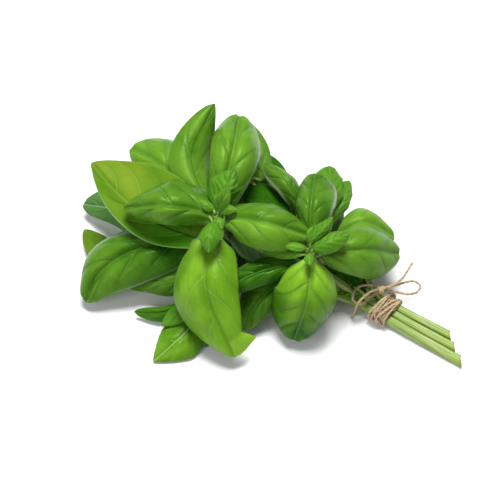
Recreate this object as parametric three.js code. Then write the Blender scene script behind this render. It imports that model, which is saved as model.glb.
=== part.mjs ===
// A bunch of fresh basil lying on its side, its stems tied with jute twine.
// Millimetres, +Z up. +X runs along the tied stems towards their cut ends, the leaves reach
// towards -X, and the origin is under the middle of the bunch, on the surface it lies on.

import * as THREE from 'three';
import { mergeVertices } from 'three/addons/utils/BufferGeometryUtils.js';

// Driving dimensions.
const LEAF_THICKNESS = 0.8;
const PETIOLE_HALF_WIDTH = 0.9;
const FINE_PETIOLE_HALF_WIDTH = 0.6;
const PETIOLE_GAP = 0.8;
const TWINE_DIAMETER = 1.5;
const RIB_SLANT = 0.7;
const PETIOLE_CROWN = 0.6;
const PETIOLE_KEEL = 0.9;
const PETIOLE_TAPER = 0.6;
const RIB_THICKENING = 0.9;
const RIB_RUN = 6;
const STEM_GROOVE = 0.12;
const CUT_SLOPE = 0.85;
const CUT_LIFT = 0.2;
const BUD_RADIUS = 1.7;
const BUD_STRETCH = 1.3;
const BUD_GAP = 0.3;
const KNOT_RADIUS = 2;
const WRAP_THICKNESS = 1.3;

// How finely the shapes are divided.
const LEAF_STATIONS = 8;
const PETIOLE_STATIONS = 2;
const STEM_SIDES = 8;
const TWINE_SIDES = 8;
const WRAP_STATIONS = 20;

const leafGreen = 0x4f8f2a;
const youngGreen = 0x73aa42;
const paleGreen = 0x88a83a;
const blueGreen = 0x4a7a50;
const shadeGreen = 0x2c6318;
const stemGreen = 0xaecb72;
const twineTan = 0xb4946a;

const bunch = new THREE.Group();
bunch.name = 'basil_bunch';

const vector = ([x, y, z]) => new THREE.Vector3(x, y, z);

// The part of `direction` that is square to `axis`, at unit length.
function squareTo(direction, axis) {
  return direction.clone().addScaledVector(axis, -direction.dot(axis)).normalize();
}

// Direction of travel along a curve, taken over a short stretch so that it turns smoothly.
function heading(curve, share) {
  const reach = 0.02;
  const ahead = curve.getPointAt(Math.min(1, share + reach));
  const behind = curve.getPointAt(Math.max(0, share - reach));
  return ahead.sub(behind).normalize();
}

// A closed body skinned over equal rings of points. Rings that join end to end need no caps.
// Other bodies are capped by strips between opposite points, so the ring count must be even.
function skin(rings, joined = false) {
  const around = rings[0].length;
  const points = rings.flat();
  const triangles = [];
  const spans = joined ? rings.length : rings.length - 1;
  for (let span = 0; span < spans; span += 1) {
    const here = span * around;
    const next = ((span + 1) % rings.length) * around;
    for (let side = 0; side < around; side += 1) {
      const turn = (side + 1) % around;
      const corners = [here + side, here + turn, next + turn, next + side];
      triangles.push(...splitPanel(corners, points));
    }
  }
  if (!joined) {
    capEnd(triangles, 0, around, false);
    capEnd(triangles, (rings.length - 1) * around, around, true);
  }
  const geometry = new THREE.BufferGeometry();
  const positions = points.flatMap((point) => point.toArray());
  geometry.setAttribute('position', new THREE.Float32BufferAttribute(positions, 3));
  geometry.setIndex(triangles);
  geometry.computeVertexNormals();
  return geometry;
}

// Two triangles for a four-cornered panel, split along its shorter diagonal.
function splitPanel([a, b, c, d], points) {
  const shortest = points[b].distanceTo(points[d]) <= points[a].distanceTo(points[c]);
  return shortest ? [a, b, d, b, c, d] : [a, b, c, a, c, d];
}

function capEnd(triangles, first, around, far) {
  const add = (a, b, c) => triangles.push(first + a, first + (far ? b : c), first + (far ? c : b));
  for (let step = 0; step < around / 2; step += 1) {
    const low = step;
    const high = (around - step) % around;
    const nextLow = step + 1;
    const nextHigh = around - step - 1;
    if (low !== high) add(low, nextLow, high);
    if (nextLow !== nextHigh) add(nextLow, nextHigh, high);
  }
}

// Puts a named body in the bunch, standing at its own anchor point.
function place(name, geometry, anchor, colour, roughness = 0.55) {
  geometry.translate(-anchor.x, -anchor.y, -anchor.z);
  const material = new THREE.MeshStandardMaterial({ color: colour, roughness, metalness: 0 });
  const mesh = new THREE.Mesh(geometry, material);
  mesh.name = name;
  mesh.position.copy(anchor);
  bunch.add(mesh);
}

// ---------------------------------------------------------------------------
// Stems: squarish, lightly grooved on each face and tapering towards the leaves. The three
// sprigs are cut aslant, longest on the front side and a little longer below than on top.
// ---------------------------------------------------------------------------

const stems = {};

function stem(name, route, startRadius, endRadius, steps, cut = 0) {
  const curve = new THREE.CatmullRomCurve3(route.map(vector));
  stems[name] = { curve, startRadius, endRadius };
  const rings = [];
  let upwards = new THREE.Vector3(0, 0, 1);
  for (let step = 0; step <= steps; step += 1) {
    const share = step / steps;
    const along = heading(curve, share);
    upwards = squareTo(upwards, along);
    const across = new THREE.Vector3().crossVectors(upwards, along);
    const centre = curve.getPointAt(share);
    const radius = THREE.MathUtils.lerp(startRadius, endRadius, share);
    const ring = [];
    for (let side = 0; side < STEM_SIDES; side += 1) {
      const turn = ((side + 0.5) * 2 * Math.PI) / STEM_SIDES;
      const reach = radius * (side % 2 ? 1 - STEM_GROOVE : 1);
      const point = centre.clone();
      point.addScaledVector(across, reach * Math.cos(turn));
      point.addScaledVector(upwards, reach * Math.sin(turn));
      const slant = CUT_LIFT * Math.sin(turn) - Math.cos(turn);
      if (step === 0) point.addScaledVector(along, cut * reach * slant);
      ring.push(point);
    }
    rings.push(ring);
  }
  place(name, skin(rings), curve.getPointAt(0), stemGreen, 0.5);
}

stem('sprig1_stem', [
  [121, 18.8, 2.7], [107.5, 18.5, 2.8], [87.5, 18, 3.6], [69, 17.4, 5], [52.5, 15, 8],
  [21.5, 1.5, 21], [-4, -7, 33], [-15.5, -10, 41], [-25.5, -11, 49], [-30, -9, 56],
], 2.5, 1.4, 18, CUT_SLOPE);
stem('sprig2_stem', [
  [113.5, 24.3, 2.7], [100.5, 23.8, 2.9], [84.5, 22.9, 3.9], [68, 22.4, 5], [54.5, 19.7, 9],
  [40.5, 13, 22], [29.5, 7, 36], [25, 4, 50],
], 2.45, 1.5, 14, CUT_SLOPE);
stem('sprig3_stem', [
  [107.5, 29.8, 2.6], [94.5, 29.2, 2.8], [80, 28, 3.7], [67, 27.4, 5], [52, 26.5, 6.5],
  [23, 21, 11], [-3.5, 7.5, 17], [-22, -5, 24], [-32.5, -12.5, 32], [-43, -8.5, 37], [-49.5, -3.5, 40],
], 2.35, 1.2, 18, CUT_SLOPE);
stem('cut_stub', [[66.5, 24, 9.6], [60, 25.5, 11.3], [50.3, 28.6, 14.3]], 1.5, 1.4, 4);
stem('shoot_back_stem', [
  [25, 22, 16], [10.5, 23.5, 20], [-7, 27.5, 27], [-26, 31.5, 34], [-37.5, 35, 37],
], 1.5, 1.1, 8);
stem('shoot_front_stem', [
  [-17.5, -3.5, 19.5], [-19, -15.5, 20], [-18.5, -29.5, 17], [-16.5, -40, 15],
], 1.4, 1, 6);
stem('shoot_left_stem', [
  [-24.5, -8, 19], [-32.5, -14.5, 18], [-44, -21, 17], [-52, -24.5, 18],
], 1.3, 0.9, 5);
stem('shoot_right_stem', [
  [28.5, 27.5, 13.5], [25.5, 30.5, 19], [21.5, 33, 27], [17, 35.5, 32],
], 1.4, 1, 5);

// ---------------------------------------------------------------------------
// Leaves: an egg-shaped blade, domed between the midrib and each edge, on a short petiole.
// ---------------------------------------------------------------------------

// Width of the blade along its length, 1 at the widest: a rising power near the base
// and a falling one towards the tip.
function bladeWidth(along, [rise, fall]) {
  if (along <= 0 || along >= 1) return 0;
  const widest = rise / (rise + fall);
  return (along / widest) ** rise * ((1 - along) / (1 - widest)) ** fall;
}

// The foot of a petiole, on the side of its stem that faces the blade.
function petioleFoot(stemName, share, bladeBase) {
  const { curve, startRadius, endRadius } = stems[stemName];
  const centre = curve.getPointAt(share);
  const outwards = squareTo(bladeBase.clone().sub(centre), heading(curve, share));
  const reach = THREE.MathUtils.lerp(startRadius, endRadius, share) + PETIOLE_GAP;
  return centre.addScaledVector(outwards, reach);
}

// `spine` runs from the blade's base to its tip along the midrib. `left` and `right` are the
// edges where the blade is widest, as seen from the base with the upper face up.
function leaf(name, stemName, share, spine, left, right, shape) {
  const { outline, leftOutline = outline, rightOutline = outline } = shape;
  const { bulge = 0, petiole = PETIOLE_HALF_WIDTH, colour } = shape;
  const blade = spine.map(vector);
  const route = [petioleFoot(stemName, share, blade[0]), ...blade];
  const curve = new THREE.CatmullRomCurve3(route);
  const pieces = 60;
  const lengths = curve.getLengths(pieces);
  const bladeStart = lengths[pieces / (route.length - 1)] / lengths[pieces];
  const curveShare = (along) => bladeStart + (1 - bladeStart) * along;

  const [rise, fall] = outline ?? [
    (leftOutline[0] + rightOutline[0]) / 2, (leftOutline[1] + rightOutline[1]) / 2,
  ];
  const widest = curveShare(rise / (rise + fall));
  const along = heading(curve, widest);
  const toEdge = [left, right].map((edge) => {
    const reach = vector(edge).sub(curve.getPointAt(widest));
    return reach.addScaledVector(along, -reach.dot(along));
  });
  const across = toEdge[1].clone().normalize().sub(toEdge[0].clone().normalize()).normalize();
  const upperFace = new THREE.Vector3().crossVectors(across, along);
  const halves = toEdge.map((reach, index) => ({
    out: reach.dot(across), up: reach.dot(upperFace), width: reach.length(),
    outline: index ? rightOutline : leftOutline,
  }));

  const frameAt = (position) => {
    const forwards = heading(curve, position);
    const up = squareTo(upperFace, forwards);
    const side = new THREE.Vector3().crossVectors(forwards, up);
    const slant = RIB_SLANT * THREE.MathUtils.smoothstep(position, 0, bladeStart);
    side.lerp(across, slant).normalize();
    return { centre: curve.getPointAt(position), up, side };
  };
  const bladePoint = (station, lateral, depth) => {
    const { centre, up, side } = frameAt(curveShare(station));
    const half = halves[lateral > 0 ? 1 : 0];
    const spread = bladeWidth(station, half.outline);
    const narrowest = (petiole * (1 - PETIOLE_TAPER * station)) / half.width;
    const reach = Math.abs(lateral) * Math.max(spread, narrowest);
    const dome = bulge * spread * Math.sin(Math.PI * Math.abs(lateral));
    return centre.addScaledVector(side, half.out * reach)
      .addScaledVector(up, half.up * reach + dome + depth);
  };

  const upper = [-1, -0.5, 0, 0.5, 1];
  const under = [0.5, 0, -0.5];
  const rings = [];
  for (let step = 0; step < PETIOLE_STATIONS; step += 1) {
    const { centre, up, side } = frameAt((bladeStart * step) / PETIOLE_STATIONS);
    const rim = (lateral, depth) => centre.clone().addScaledVector(side, petiole * lateral)
      .addScaledVector(up, depth * (1 - lateral * lateral));
    rings.push([
      ...upper.map((at) => rim(at, PETIOLE_CROWN)),
      ...under.map((at) => rim(at, -PETIOLE_KEEL)),
    ]);
  }
  for (let step = 0; step <= LEAF_STATIONS; step += 1) {
    const station = step / LEAF_STATIONS;
    const half = (LEAF_THICKNESS / 2) * (1 + RIB_THICKENING * Math.max(0, 1 - RIB_RUN * station));
    rings.push([
      ...upper.map((at) => bladePoint(station, at, half * (1 - at ** 4))),
      ...under.map((at) => bladePoint(station, at, -half)),
    ]);
  }
  place(name, skin(rings), blade[0], colour);
}

// Sprig 1: the tallest sprig, its growing tip turned upwards.
leaf('sprig1_young_upper', 'sprig1_stem', 0.985, [[-31, -3, 61], [-30, 3, 69], [-33, 14, 73]],
  [-39, -1, 64], [-27, 9, 66], { outline: [0.5, 0.7], colour: youngGreen });
leaf('sprig1_young_small', 'sprig1_stem', 1, [[-28, -9, 64], [-26, -7, 72], [-26, -2, 78]],
  [-30, -9, 72], [-22, -5, 72],
  { outline: [0.5, 0.7], petiole: FINE_PETIOLE_HALF_WIDTH, colour: youngGreen });
leaf('sprig1_young_lower', 'sprig1_stem', 0.985, [[-27, -16, 60], [-21, -28, 65], [-17, -34, 59]],
  [-18, -19, 60], [-27, -30, 60], { outline: [0.5, 0.7], colour: youngGreen });
leaf('sprig1_leaf_left', 'sprig1_stem', 0.965, [[-35, -12, 58], [-54, -26, 66], [-79, -33, 52]],
  [-54, -33, 56], [-64, -4, 60], { outline: [0.4, 0.6], bulge: 3, colour: leafGreen });
leaf('sprig1_leaf_right', 'sprig1_stem', 0.96, [[-21, -6, 57], [0, 0, 63], [20, 13, 51]],
  [-13, 15, 57], [5, -11, 53], { outline: [0.4, 0.48], bulge: 3, colour: leafGreen });
leaf('sprig1_leaf_top', 'sprig1_stem', 0.935, [[-35, 5, 54], [-45, 29, 66], [-61, 58, 58]],
  [-57, 22, 64], [-36, 45, 56],
  { leftOutline: [0.4, 0.27], rightOutline: [0.4, 0.3], bulge: 3, colour: leafGreen });
leaf('sprig1_leaf_pointed', 'sprig1_stem', 0.92, [[-43, 1, 50], [-65, 16, 58], [-72, 49, 70]],
  [-80, 13, 60], [-63, 31, 47],
  { leftOutline: [0.5, 0.52], rightOutline: [0.5, 0.95], bulge: 2, colour: leafGreen });
leaf('sprig1_leaf_drooping', 'sprig1_stem', 0.93,
  [[-24, -20, 50], [-11, -46, 43], [8, -55, 23], [17, -57, 10]],
  [3, -33, 38], [-34, -48, 31],
  { leftOutline: [0.45, 0.8], rightOutline: [0.45, 0.5], bulge: 3, colour: leafGreen });
leaf('sprig1_leaf_low_front', 'sprig1_stem', 0.63, [[17, -4, 27], [11, -22, 23], [8, -38, 6]],
  [17, -26, 12], [-3, -21, 20], { outline: [0.5, 0.6], bulge: 2, colour: leafGreen });
leaf('sprig1_leaf_low_right', 'sprig1_stem', 0.58, [[22, -1, 12], [28, -5, 8], [35, -11, 2]],
  [34, 1, 5], [20, -8, 5], { outline: [0.5, 0.6], colour: shadeGreen });

// Sprig 2: the short sprig near the tie.
leaf('sprig2_leaf_lower', 'sprig2_stem', 0.87, [[20, 1, 37], [6, -16, 39], [-9, -34, 29]],
  [8, -24, 33], [-4, -10, 36], { outline: [0.5, 0.5], bulge: 2, colour: leafGreen });
leaf('sprig2_leaf_shaded', 'sprig2_stem', 0.82, [[15, 9, 30], [0, 0, 30], [-19, -7, 29]],
  [3, -4, 25], [-4, 5, 31], { outline: [0.5, 0.6], colour: shadeGreen });
leaf('sprig2_young_left', 'sprig2_stem', 0.99, [[21.5, -1, 51], [12, -3, 46.5], [-2, -6, 41]],
  [12, -5, 43], [11, 1, 46], { outline: [0.5, 0.7], petiole: FINE_PETIOLE_HALF_WIDTH, colour: youngGreen });
leaf('sprig2_young_right', 'sprig2_stem', 0.99, [[28, 3, 57], [35, 10, 63], [40, 23, 59]],
  [29, 16, 60], [39, 7, 58], { outline: [0.5, 0.7], colour: youngGreen });
leaf('sprig2_young_upper', 'sprig2_stem', 1, [[25, 5, 59], [28, 11, 66], [28, 23, 65]],
  [22, 16, 63], [31, 13, 64],
  { outline: [0.5, 0.7], petiole: FINE_PETIOLE_HALF_WIDTH, colour: youngGreen });
leaf('sprig2_leaf_top', 'sprig2_stem', 0.96, [[17, 17, 49], [10, 28, 58], [-2, 51, 53]],
  [-1, 28, 50], [19, 41, 51], { outline: [0.35, 0.15], bulge: 2, colour: leafGreen });
leaf('sprig2_leaf_right', 'sprig2_stem', 0.95, [[33, 11, 47], [49, 27, 45], [60, 49, 24]],
  [41, 46, 40], [53, 18, 30], { outline: [0.5, 0.32], bulge: 3, colour: leafGreen });
leaf('sprig2_leaf_front', 'sprig2_stem', 0.965, [[28, 2, 47], [38, -16, 38], [37, -27, 7]],
  [49, -1, 31], [17, -21, 26],
  { leftOutline: [0.3, 0.3], rightOutline: [0.3, 0.26], bulge: 3, colour: leafGreen });
leaf('sprig2_small_leaf_1', 'sprig2_stem', 0.64, [[42, 18, 21], [36, 18, 26], [29, 22, 28]],
  [32, 14, 22], [40, 25, 22], { outline: [0.5, 0.5], colour: shadeGreen });
leaf('sprig2_small_leaf_2', 'sprig2_stem', 0.58, [[49, 23, 15], [45, 23, 20], [36, 27, 22]],
  [41, 18, 17], [47, 31, 18], { outline: [0.5, 0.6], colour: shadeGreen });

// Sprig 3: the long low sprig under the other two.
leaf('sprig3_leaf_pale', 'sprig3_stem', 0.87,
  [[-35, -20, 43], [-62, -26, 46], [-89, -25, 50], [-114, -18, 53]],
  [-57, -38, 40], [-80, 1, 57],
  { leftOutline: [0.5, 0.8], rightOutline: [0.6, 0.9], bulge: -2, colour: paleGreen });
leaf('sprig3_leaf_back', 'sprig3_stem', 1, [[-53, 2, 44], [-80, 7, 49], [-108, 11, 42]],
  [-93, -1, 42], [-105, 31, 42],
  { leftOutline: [0.5, 0.5], rightOutline: [0.75, 0.3], bulge: 2, colour: leafGreen });
leaf('sprig3_leaf_big', 'sprig3_stem', 0.84,
  [[-43, -21, 34], [-65, -43, 33], [-76, -61, 23], [-78, -75, 7]],
  [-58, -60, 16], [-98, -62, 20],
  { leftOutline: [0.5, 0.7], rightOutline: [0.5, 0.24], bulge: 3, colour: leafGreen });
leaf('sprig3_leaf_inner', 'sprig3_stem', 0.7, [[-14, 6, 13], [-28, 7, 14], [-49, 9, 9]],
  [-27, -4, 10], [-26, 21, 12], { outline: [0.5, 0.5], colour: shadeGreen });
leaf('sprig3_leaf_low', 'sprig3_stem', 0.42, [[33, 36, 12], [33, 52, 9], [37, 69, 1]],
  [23, 59, 5], [40, 50, 5], { outline: [0.5, 0.6], colour: shadeGreen });
leaf('sprig3_small_leaf', 'sprig3_stem', 0.34, [[47, 31, 9], [42, 33, 11], [36, 36, 11]],
  [40, 29, 9], [44, 39, 8], { outline: [0.5, 0.6], colour: shadeGreen });

// Shoot to the left, low under the big leaves.
leaf('shoot_left_leaf_bluish', 'shoot_left_stem', 1, [[-62, -28, 22], [-97, -18, 18], [-123, -21, 9]],
  [-104, -24, 11], [-123, -2, 19],
  { leftOutline: [0.7, 0.5], rightOutline: [0.5, 0.42], colour: blueGreen });
leaf('shoot_left_leaf_tip', 'shoot_left_stem', 0.9, [[-52, -42, 12], [-80, -42, 11], [-112, -34, 6]],
  [-85, -53, 8], [-87, -32, 9], { outline: [0.5, 0.6], colour: paleGreen });
leaf('shoot_left_leaf_under', 'shoot_left_stem', 0.1, [[-32, -17, 15], [-52, -17, 11], [-80, -22, 4]],
  [-45, -30, 5], [-61, -1, 10], { outline: [0.5, 0.5], colour: shadeGreen });

// Shoot to the front, low under the drooping leaf.
leaf('shoot_front_leaf_edge', 'shoot_front_stem', 0.5, [[-31, -29, 21], [-42, -43, 19], [-57, -53, 13]],
  [-37, -45, 10], [-48, -37, 20], { outline: [0.5, 0.9], colour: leafGreen });
leaf('shoot_front_leaf_thin', 'shoot_front_stem', 0.8, [[-25, -43, 12], [-36, -56, 9], [-51, -63, 5]],
  [-35, -59, 3], [-39, -54, 10], { outline: [0.5, 0.5], bulge: 1, colour: shadeGreen });
leaf('shoot_front_leaf_pale', 'shoot_front_stem', 1, [[-16, -56, 11], [-18, -69, 9], [-23, -82, 2]],
  [-4, -58, 4], [-32, -70, 5],
  { leftOutline: [0.35, 0.9], rightOutline: [0.4, 0.85], bulge: 1, colour: paleGreen });
leaf('shoot_front_leaf_small', 'shoot_front_stem', 0.85, [[-22, -45, 17], [-27, -55, 14], [-31, -63, 9]],
  [-21, -57, 12], [-34, -53, 11], { outline: [0.5, 0.7], colour: youngGreen });
leaf('shoot_front_leaf_dark', 'shoot_front_stem', 0.86, [[-19, -49, 9], [-11, -53, 8], [-3, -57, 3]],
  [-8, -49, 6], [-13, -58, 6], { outline: [0.5, 0.6], colour: blueGreen });

// Shoot to the back.
leaf('shoot_back_leaf_folded', 'shoot_back_stem', 0.45, [[-2, 34, 38], [-13, 39, 49], [-33, 44, 47]],
  [-19, 34, 44], [-11, 48, 41], { outline: [0.5, 0.45], bulge: 2, colour: leafGreen });
leaf('shoot_back_leaf_dark', 'shoot_back_stem', 0.55, [[-11, 35, 29], [-27, 44, 27], [-51, 65, 24]],
  [-42, 32, 27], [-23, 57, 26], { outline: [0.5, 0.5], bulge: -2, colour: shadeGreen });
leaf('shoot_back_leaf_jagged', 'shoot_back_stem', 1, [[-32, 40, 37], [-43, 53, 43], [-62, 67, 45]],
  [-57, 53, 41], [-43, 62, 41], { outline: [0.5, 0.6], colour: leafGreen });
leaf('shoot_back_leaf_low_1', 'shoot_back_stem', 0.95, [[-49, 22, 18], [-76, 33, 11], [-102, 37, 1]],
  [-80, 23, 6], [-77, 46, 6], { outline: [0.5, 0.6], colour: shadeGreen });
leaf('shoot_back_leaf_low_2', 'shoot_back_stem', 0.62, [[-25, 24, 18], [-51, 50, 12], [-73, 76, 1]],
  [-60, 46, 6], [-46, 60, 6], { outline: [0.5, 0.6], colour: shadeGreen });
leaf('shoot_back_leaf_low_3', 'shoot_back_stem', 0.4, [[-11, 33, 16], [-25, 50, 11], [-44, 73, 1]],
  [-35, 47, 6], [-20, 60, 6], { outline: [0.5, 0.6], colour: shadeGreen });

// Shoot to the right, behind the short sprig.
leaf('shoot_right_leaf_top', 'shoot_right_stem', 1, [[13, 40, 37], [8, 53, 42], [-4, 70, 39]],
  [-6, 55, 37], [10, 65, 38], { outline: [0.5, 0.3], colour: youngGreen });
leaf('shoot_right_leaf_side', 'shoot_right_stem', 0.9, [[17, 42, 32], [16, 55, 36], [10, 71, 34]],
  [6, 58, 33], [20, 57, 32], { outline: [0.5, 0.3], colour: youngGreen });
leaf('shoot_right_leaf_wide', 'shoot_right_stem', 0.75, [[26, 36, 34], [36, 48, 38], [51, 58, 24]],
  [26, 59, 34], [43, 38, 33], { outline: [0.5, 0.4], bulge: 2, colour: leafGreen });
leaf('shoot_right_leaf_low', 'shoot_right_stem', 0.3, [[15, 35, 14], [6, 54, 10], [-6, 82, 1]],
  [-5, 53, 6], [14, 61, 6], { outline: [0.5, 0.6], colour: shadeGreen });

// Growing tips: the tight bud of unopened leaves at the end of a sprig.
function bud(name, stemName) {
  const { curve, endRadius } = stems[stemName];
  const forwards = heading(curve, 1);
  const centre = curve.getPointAt(1).addScaledVector(forwards, BUD_RADIUS * BUD_STRETCH + BUD_GAP);
  const geometry = new THREE.IcosahedronGeometry(BUD_RADIUS, 1);
  geometry.scale(endRadius / 2, endRadius / 2, BUD_STRETCH);
  const turn = new THREE.Quaternion().setFromUnitVectors(new THREE.Vector3(0, 0, 1), forwards);
  geometry.applyQuaternion(turn);
  geometry.translate(centre.x, centre.y, centre.z);
  place(name, geometry, centre, youngGreen);
}

bud('sprig1_bud', 'sprig1_stem');
bud('sprig2_bud', 'sprig2_stem');

// ---------------------------------------------------------------------------
// Twine: jute cord wound round the stems and tied in a bow on top.
// ---------------------------------------------------------------------------

// The wrap, as the outer shape of its turns: a sleeve round the stems, deep under the knot
// and shallow towards the cut ends. Each end is a round-ended oval.
const wrapEnds = [
  { x: 63.5, y: 22.3, z: 7.4, flat: 3.2, radius: 5.4 },
  { x: 73.5, y: 22.5, z: 4.9, flat: 4.9, radius: 2.6 },
];

function wrapPoint(end, turn, outwards) {
  const reach = end.radius + outwards;
  const y = end.y + Math.sign(Math.cos(turn)) * end.flat + reach * Math.cos(turn);
  return new THREE.Vector3(end.x, y, end.z + reach * Math.sin(turn));
}

const wrapRings = [];
for (let step = 0; step < WRAP_STATIONS; step += 1) {
  const turn = ((step + 0.5) * 2 * Math.PI) / WRAP_STATIONS;
  const [deep, shallow] = wrapEnds;
  wrapRings.push([
    wrapPoint(deep, turn, 0), wrapPoint(shallow, turn, 0),
    wrapPoint(shallow, turn, WRAP_THICKNESS), wrapPoint(deep, turn, WRAP_THICKNESS),
  ]);
}
place('twine_wrap', skin(wrapRings, true), vector([68, 22.4, 6]), twineTan, 0.95);

const knotCentre = vector([62.5, 25.5, 16.4]);
const knot = mergeVertices(new THREE.IcosahedronGeometry(KNOT_RADIUS, 1));
knot.scale(1.15, 1, 0.9);
knot.translate(knotCentre.x, knotCentre.y, knotCentre.z);
place('twine_knot', knot, knotCentre, twineTan, 0.95);

// A free length of twine along a route of points.
function twine(name, route, steps) {
  const curve = new THREE.CatmullRomCurve3(route.map(vector));
  const section = new THREE.Shape();
  for (let side = 0; side < TWINE_SIDES; side += 1) {
    const turn = (side * 2 * Math.PI) / TWINE_SIDES;
    const x = (TWINE_DIAMETER / 2) * Math.cos(turn);
    const y = (TWINE_DIAMETER / 2) * Math.sin(turn);
    if (side) section.lineTo(x, y);
    else section.moveTo(x, y);
  }
  const geometry = new THREE.ExtrudeGeometry(section, { steps, extrudePath: curve });
  place(name, geometry, curve.getPointAt(0), twineTan, 0.95);
}

twine('twine_loop_left', [
  [59.3, 26.3, 16.2], [56.5, 25, 17.5], [51.5, 20.5, 18], [50, 15.5, 17.5], [51.5, 12, 15], [54, 11.5, 13.5],
  [57.5, 14, 13], [58.5, 18, 13.2], [60, 22, 14.3],
], 16);
twine('twine_loop_right', [
  [65, 28, 15.2], [69, 30.5, 14.6], [75.5, 34, 13.5], [79, 38.5, 13], [78.5, 43, 13.5], [74, 43.5, 14],
  [70.5, 39.5, 14.8], [67.5, 34.5, 15.6], [64, 28.8, 17],
], 16);
twine('twine_tail_left', [
  [60.6, 23.6, 18], [58.5, 19, 19.3], [56.3, 11.5, 17.5], [55, 9, 9], [54, 9, 1.1],
], 14);
twine('twine_tail_right', [
  [64, 27.2, 18.8], [66.5, 30.5, 19], [68.5, 38, 18.5], [68, 45.5, 18], [67.5, 51, 18],
], 12);

export default bunch;
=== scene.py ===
import math
import random

import bpy
import numpy as np
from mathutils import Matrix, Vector


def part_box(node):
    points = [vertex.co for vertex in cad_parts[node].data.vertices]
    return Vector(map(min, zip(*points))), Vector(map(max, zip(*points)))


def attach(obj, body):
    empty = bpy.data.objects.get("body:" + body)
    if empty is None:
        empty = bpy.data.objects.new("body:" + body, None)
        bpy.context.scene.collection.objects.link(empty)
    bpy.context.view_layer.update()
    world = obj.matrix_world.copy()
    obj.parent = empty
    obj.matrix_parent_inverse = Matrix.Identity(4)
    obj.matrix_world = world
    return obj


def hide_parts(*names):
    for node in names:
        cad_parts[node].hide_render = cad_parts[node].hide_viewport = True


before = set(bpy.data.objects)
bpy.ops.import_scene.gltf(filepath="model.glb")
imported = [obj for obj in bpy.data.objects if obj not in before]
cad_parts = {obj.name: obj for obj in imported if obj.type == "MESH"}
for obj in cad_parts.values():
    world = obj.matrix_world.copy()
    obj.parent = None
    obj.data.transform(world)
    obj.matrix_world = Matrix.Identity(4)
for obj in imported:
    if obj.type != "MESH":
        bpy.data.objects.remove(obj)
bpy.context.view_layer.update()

# ---------------------------------------------------------------------------------------
# The table top, the lights and the camera. The bunch lies on a plain white surface under a
# soft light overhead, with a weaker one in front that lifts the shadows.
# ---------------------------------------------------------------------------------------

MM = 0.001  # pieces are given in millimetres, the lights and the camera in metres


class Value:
    """A number that varies over a surface. Arithmetic on it adds Math nodes."""

    def __init__(self, finish, socket):
        self.finish = finish
        self.socket = socket

    def maths(self, operation, *others):
        node = self.finish.add("ShaderNodeMath", {"operation": operation})
        for slot, other in zip(node.inputs, others):
            self.finish.feed(slot, other)
        return Value(self.finish, node.outputs[0])

    def __add__(self, other):
        return self.maths("ADD", self, other)

    def __radd__(self, other):
        return self.maths("ADD", other, self)

    def __sub__(self, other):
        return self.maths("SUBTRACT", self, other)

    def __rsub__(self, other):
        return self.maths("SUBTRACT", other, self)

    def __mul__(self, other):
        return self.maths("MULTIPLY", self, other)

    def __rmul__(self, other):
        return self.maths("MULTIPLY", other, self)

    def __abs__(self):
        return self.maths("ABSOLUTE", self)

    def fraction(self):
        return self.maths("FRACT", self)

    def at_most(self, top):
        return self.maths("MINIMUM", self, top)

    def sine(self):
        return self.maths("SINE", self)

    def cosine(self):
        return self.maths("COSINE", self)

    def ramp(self, low, high, start=0.0, end=1.0):
        """Smooth change from start to end as the number goes from low to high."""
        node = self.finish.add(
            "ShaderNodeMapRange",
            {"interpolation_type": "SMOOTHSTEP"},
            {"Value": self, "From Min": low, "From Max": high, "To Min": start, "To Max": end},
        )
        return Value(self.finish, node.outputs[0])


class Finish:
    """A material made of nodes, one for each kind of surface on the bunch."""

    def __init__(self, name):
        self.material = bpy.data.materials.new(name)
        self.material.use_nodes = True
        self.tree = self.material.node_tree
        self.tree.nodes.clear()

    def feed(self, slot, value):
        if isinstance(value, Value):
            self.tree.links.new(value.socket, slot)
        elif isinstance(value, bpy.types.NodeSocket):
            self.tree.links.new(value, slot)
        else:
            slot.default_value = value

    def add(self, kind, settings=None, values=None):
        node = self.tree.nodes.new(kind)
        for name, setting in (settings or {}).items():
            setattr(node, name, setting)
        for name, value in (values or {}).items():
            self.feed(node.inputs[name], value)
        return node

    def mix(self, amount, first, second):
        """Colour that goes from the first to the second as the amount goes from 0 to 1."""
        node = self.add("ShaderNodeMix", {"data_type": "RGBA"})
        factor, a, b = node.inputs[0], node.inputs[6], node.inputs[7]
        self.feed(factor, amount)
        self.feed(a, (*first, 1) if isinstance(first, tuple) else first)
        self.feed(b, (*second, 1) if isinstance(second, tuple) else second)
        return node.outputs[2]

    def place(self):
        return self.add("ShaderNodeTexCoord").outputs["Object"]

    def noise(self, where, scale, detail=2.0, roughness=0.5):
        values = {"Vector": where, "Scale": scale, "Detail": detail, "Roughness": roughness}
        return Value(self, self.add("ShaderNodeTexNoise", None, values).outputs[0])

    def attribute(self, name):
        """The three numbers that a piece's mesh carries under this name."""
        node = self.add("ShaderNodeAttribute", {"attribute_name": name})
        parts = self.add("ShaderNodeSeparateXYZ", None, {"Vector": node.outputs["Vector"]})
        return [Value(self, output) for output in parts.outputs]

    def stretched(self, x, y, z):
        """A place made of three numbers, for a pattern that is drawn out along a piece."""
        return self.add("ShaderNodeCombineXYZ", None, {"X": x, "Y": y, "Z": z}).outputs[0]

    def bump(self, height, distance, strength=1.0):
        values = {"Height": height, "Distance": distance, "Strength": strength}
        return self.add("ShaderNodeBump", None, values).outputs["Normal"]

    def skin(self, values):
        return self.add("ShaderNodeBsdfPrincipled", None, values).outputs[0]

    def finish(self, shader):
        self.add("ShaderNodeOutputMaterial", None, {"Surface": shader})
        return self.material

    def coats(self, colour, *layers):
        """Lays each layer's colour over the last by its amount."""
        for amount, tint in layers:
            colour = self.mix(amount, colour, tint)
        return colour


def deselect():
    bpy.ops.object.select_all(action="DESELECT")


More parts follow.
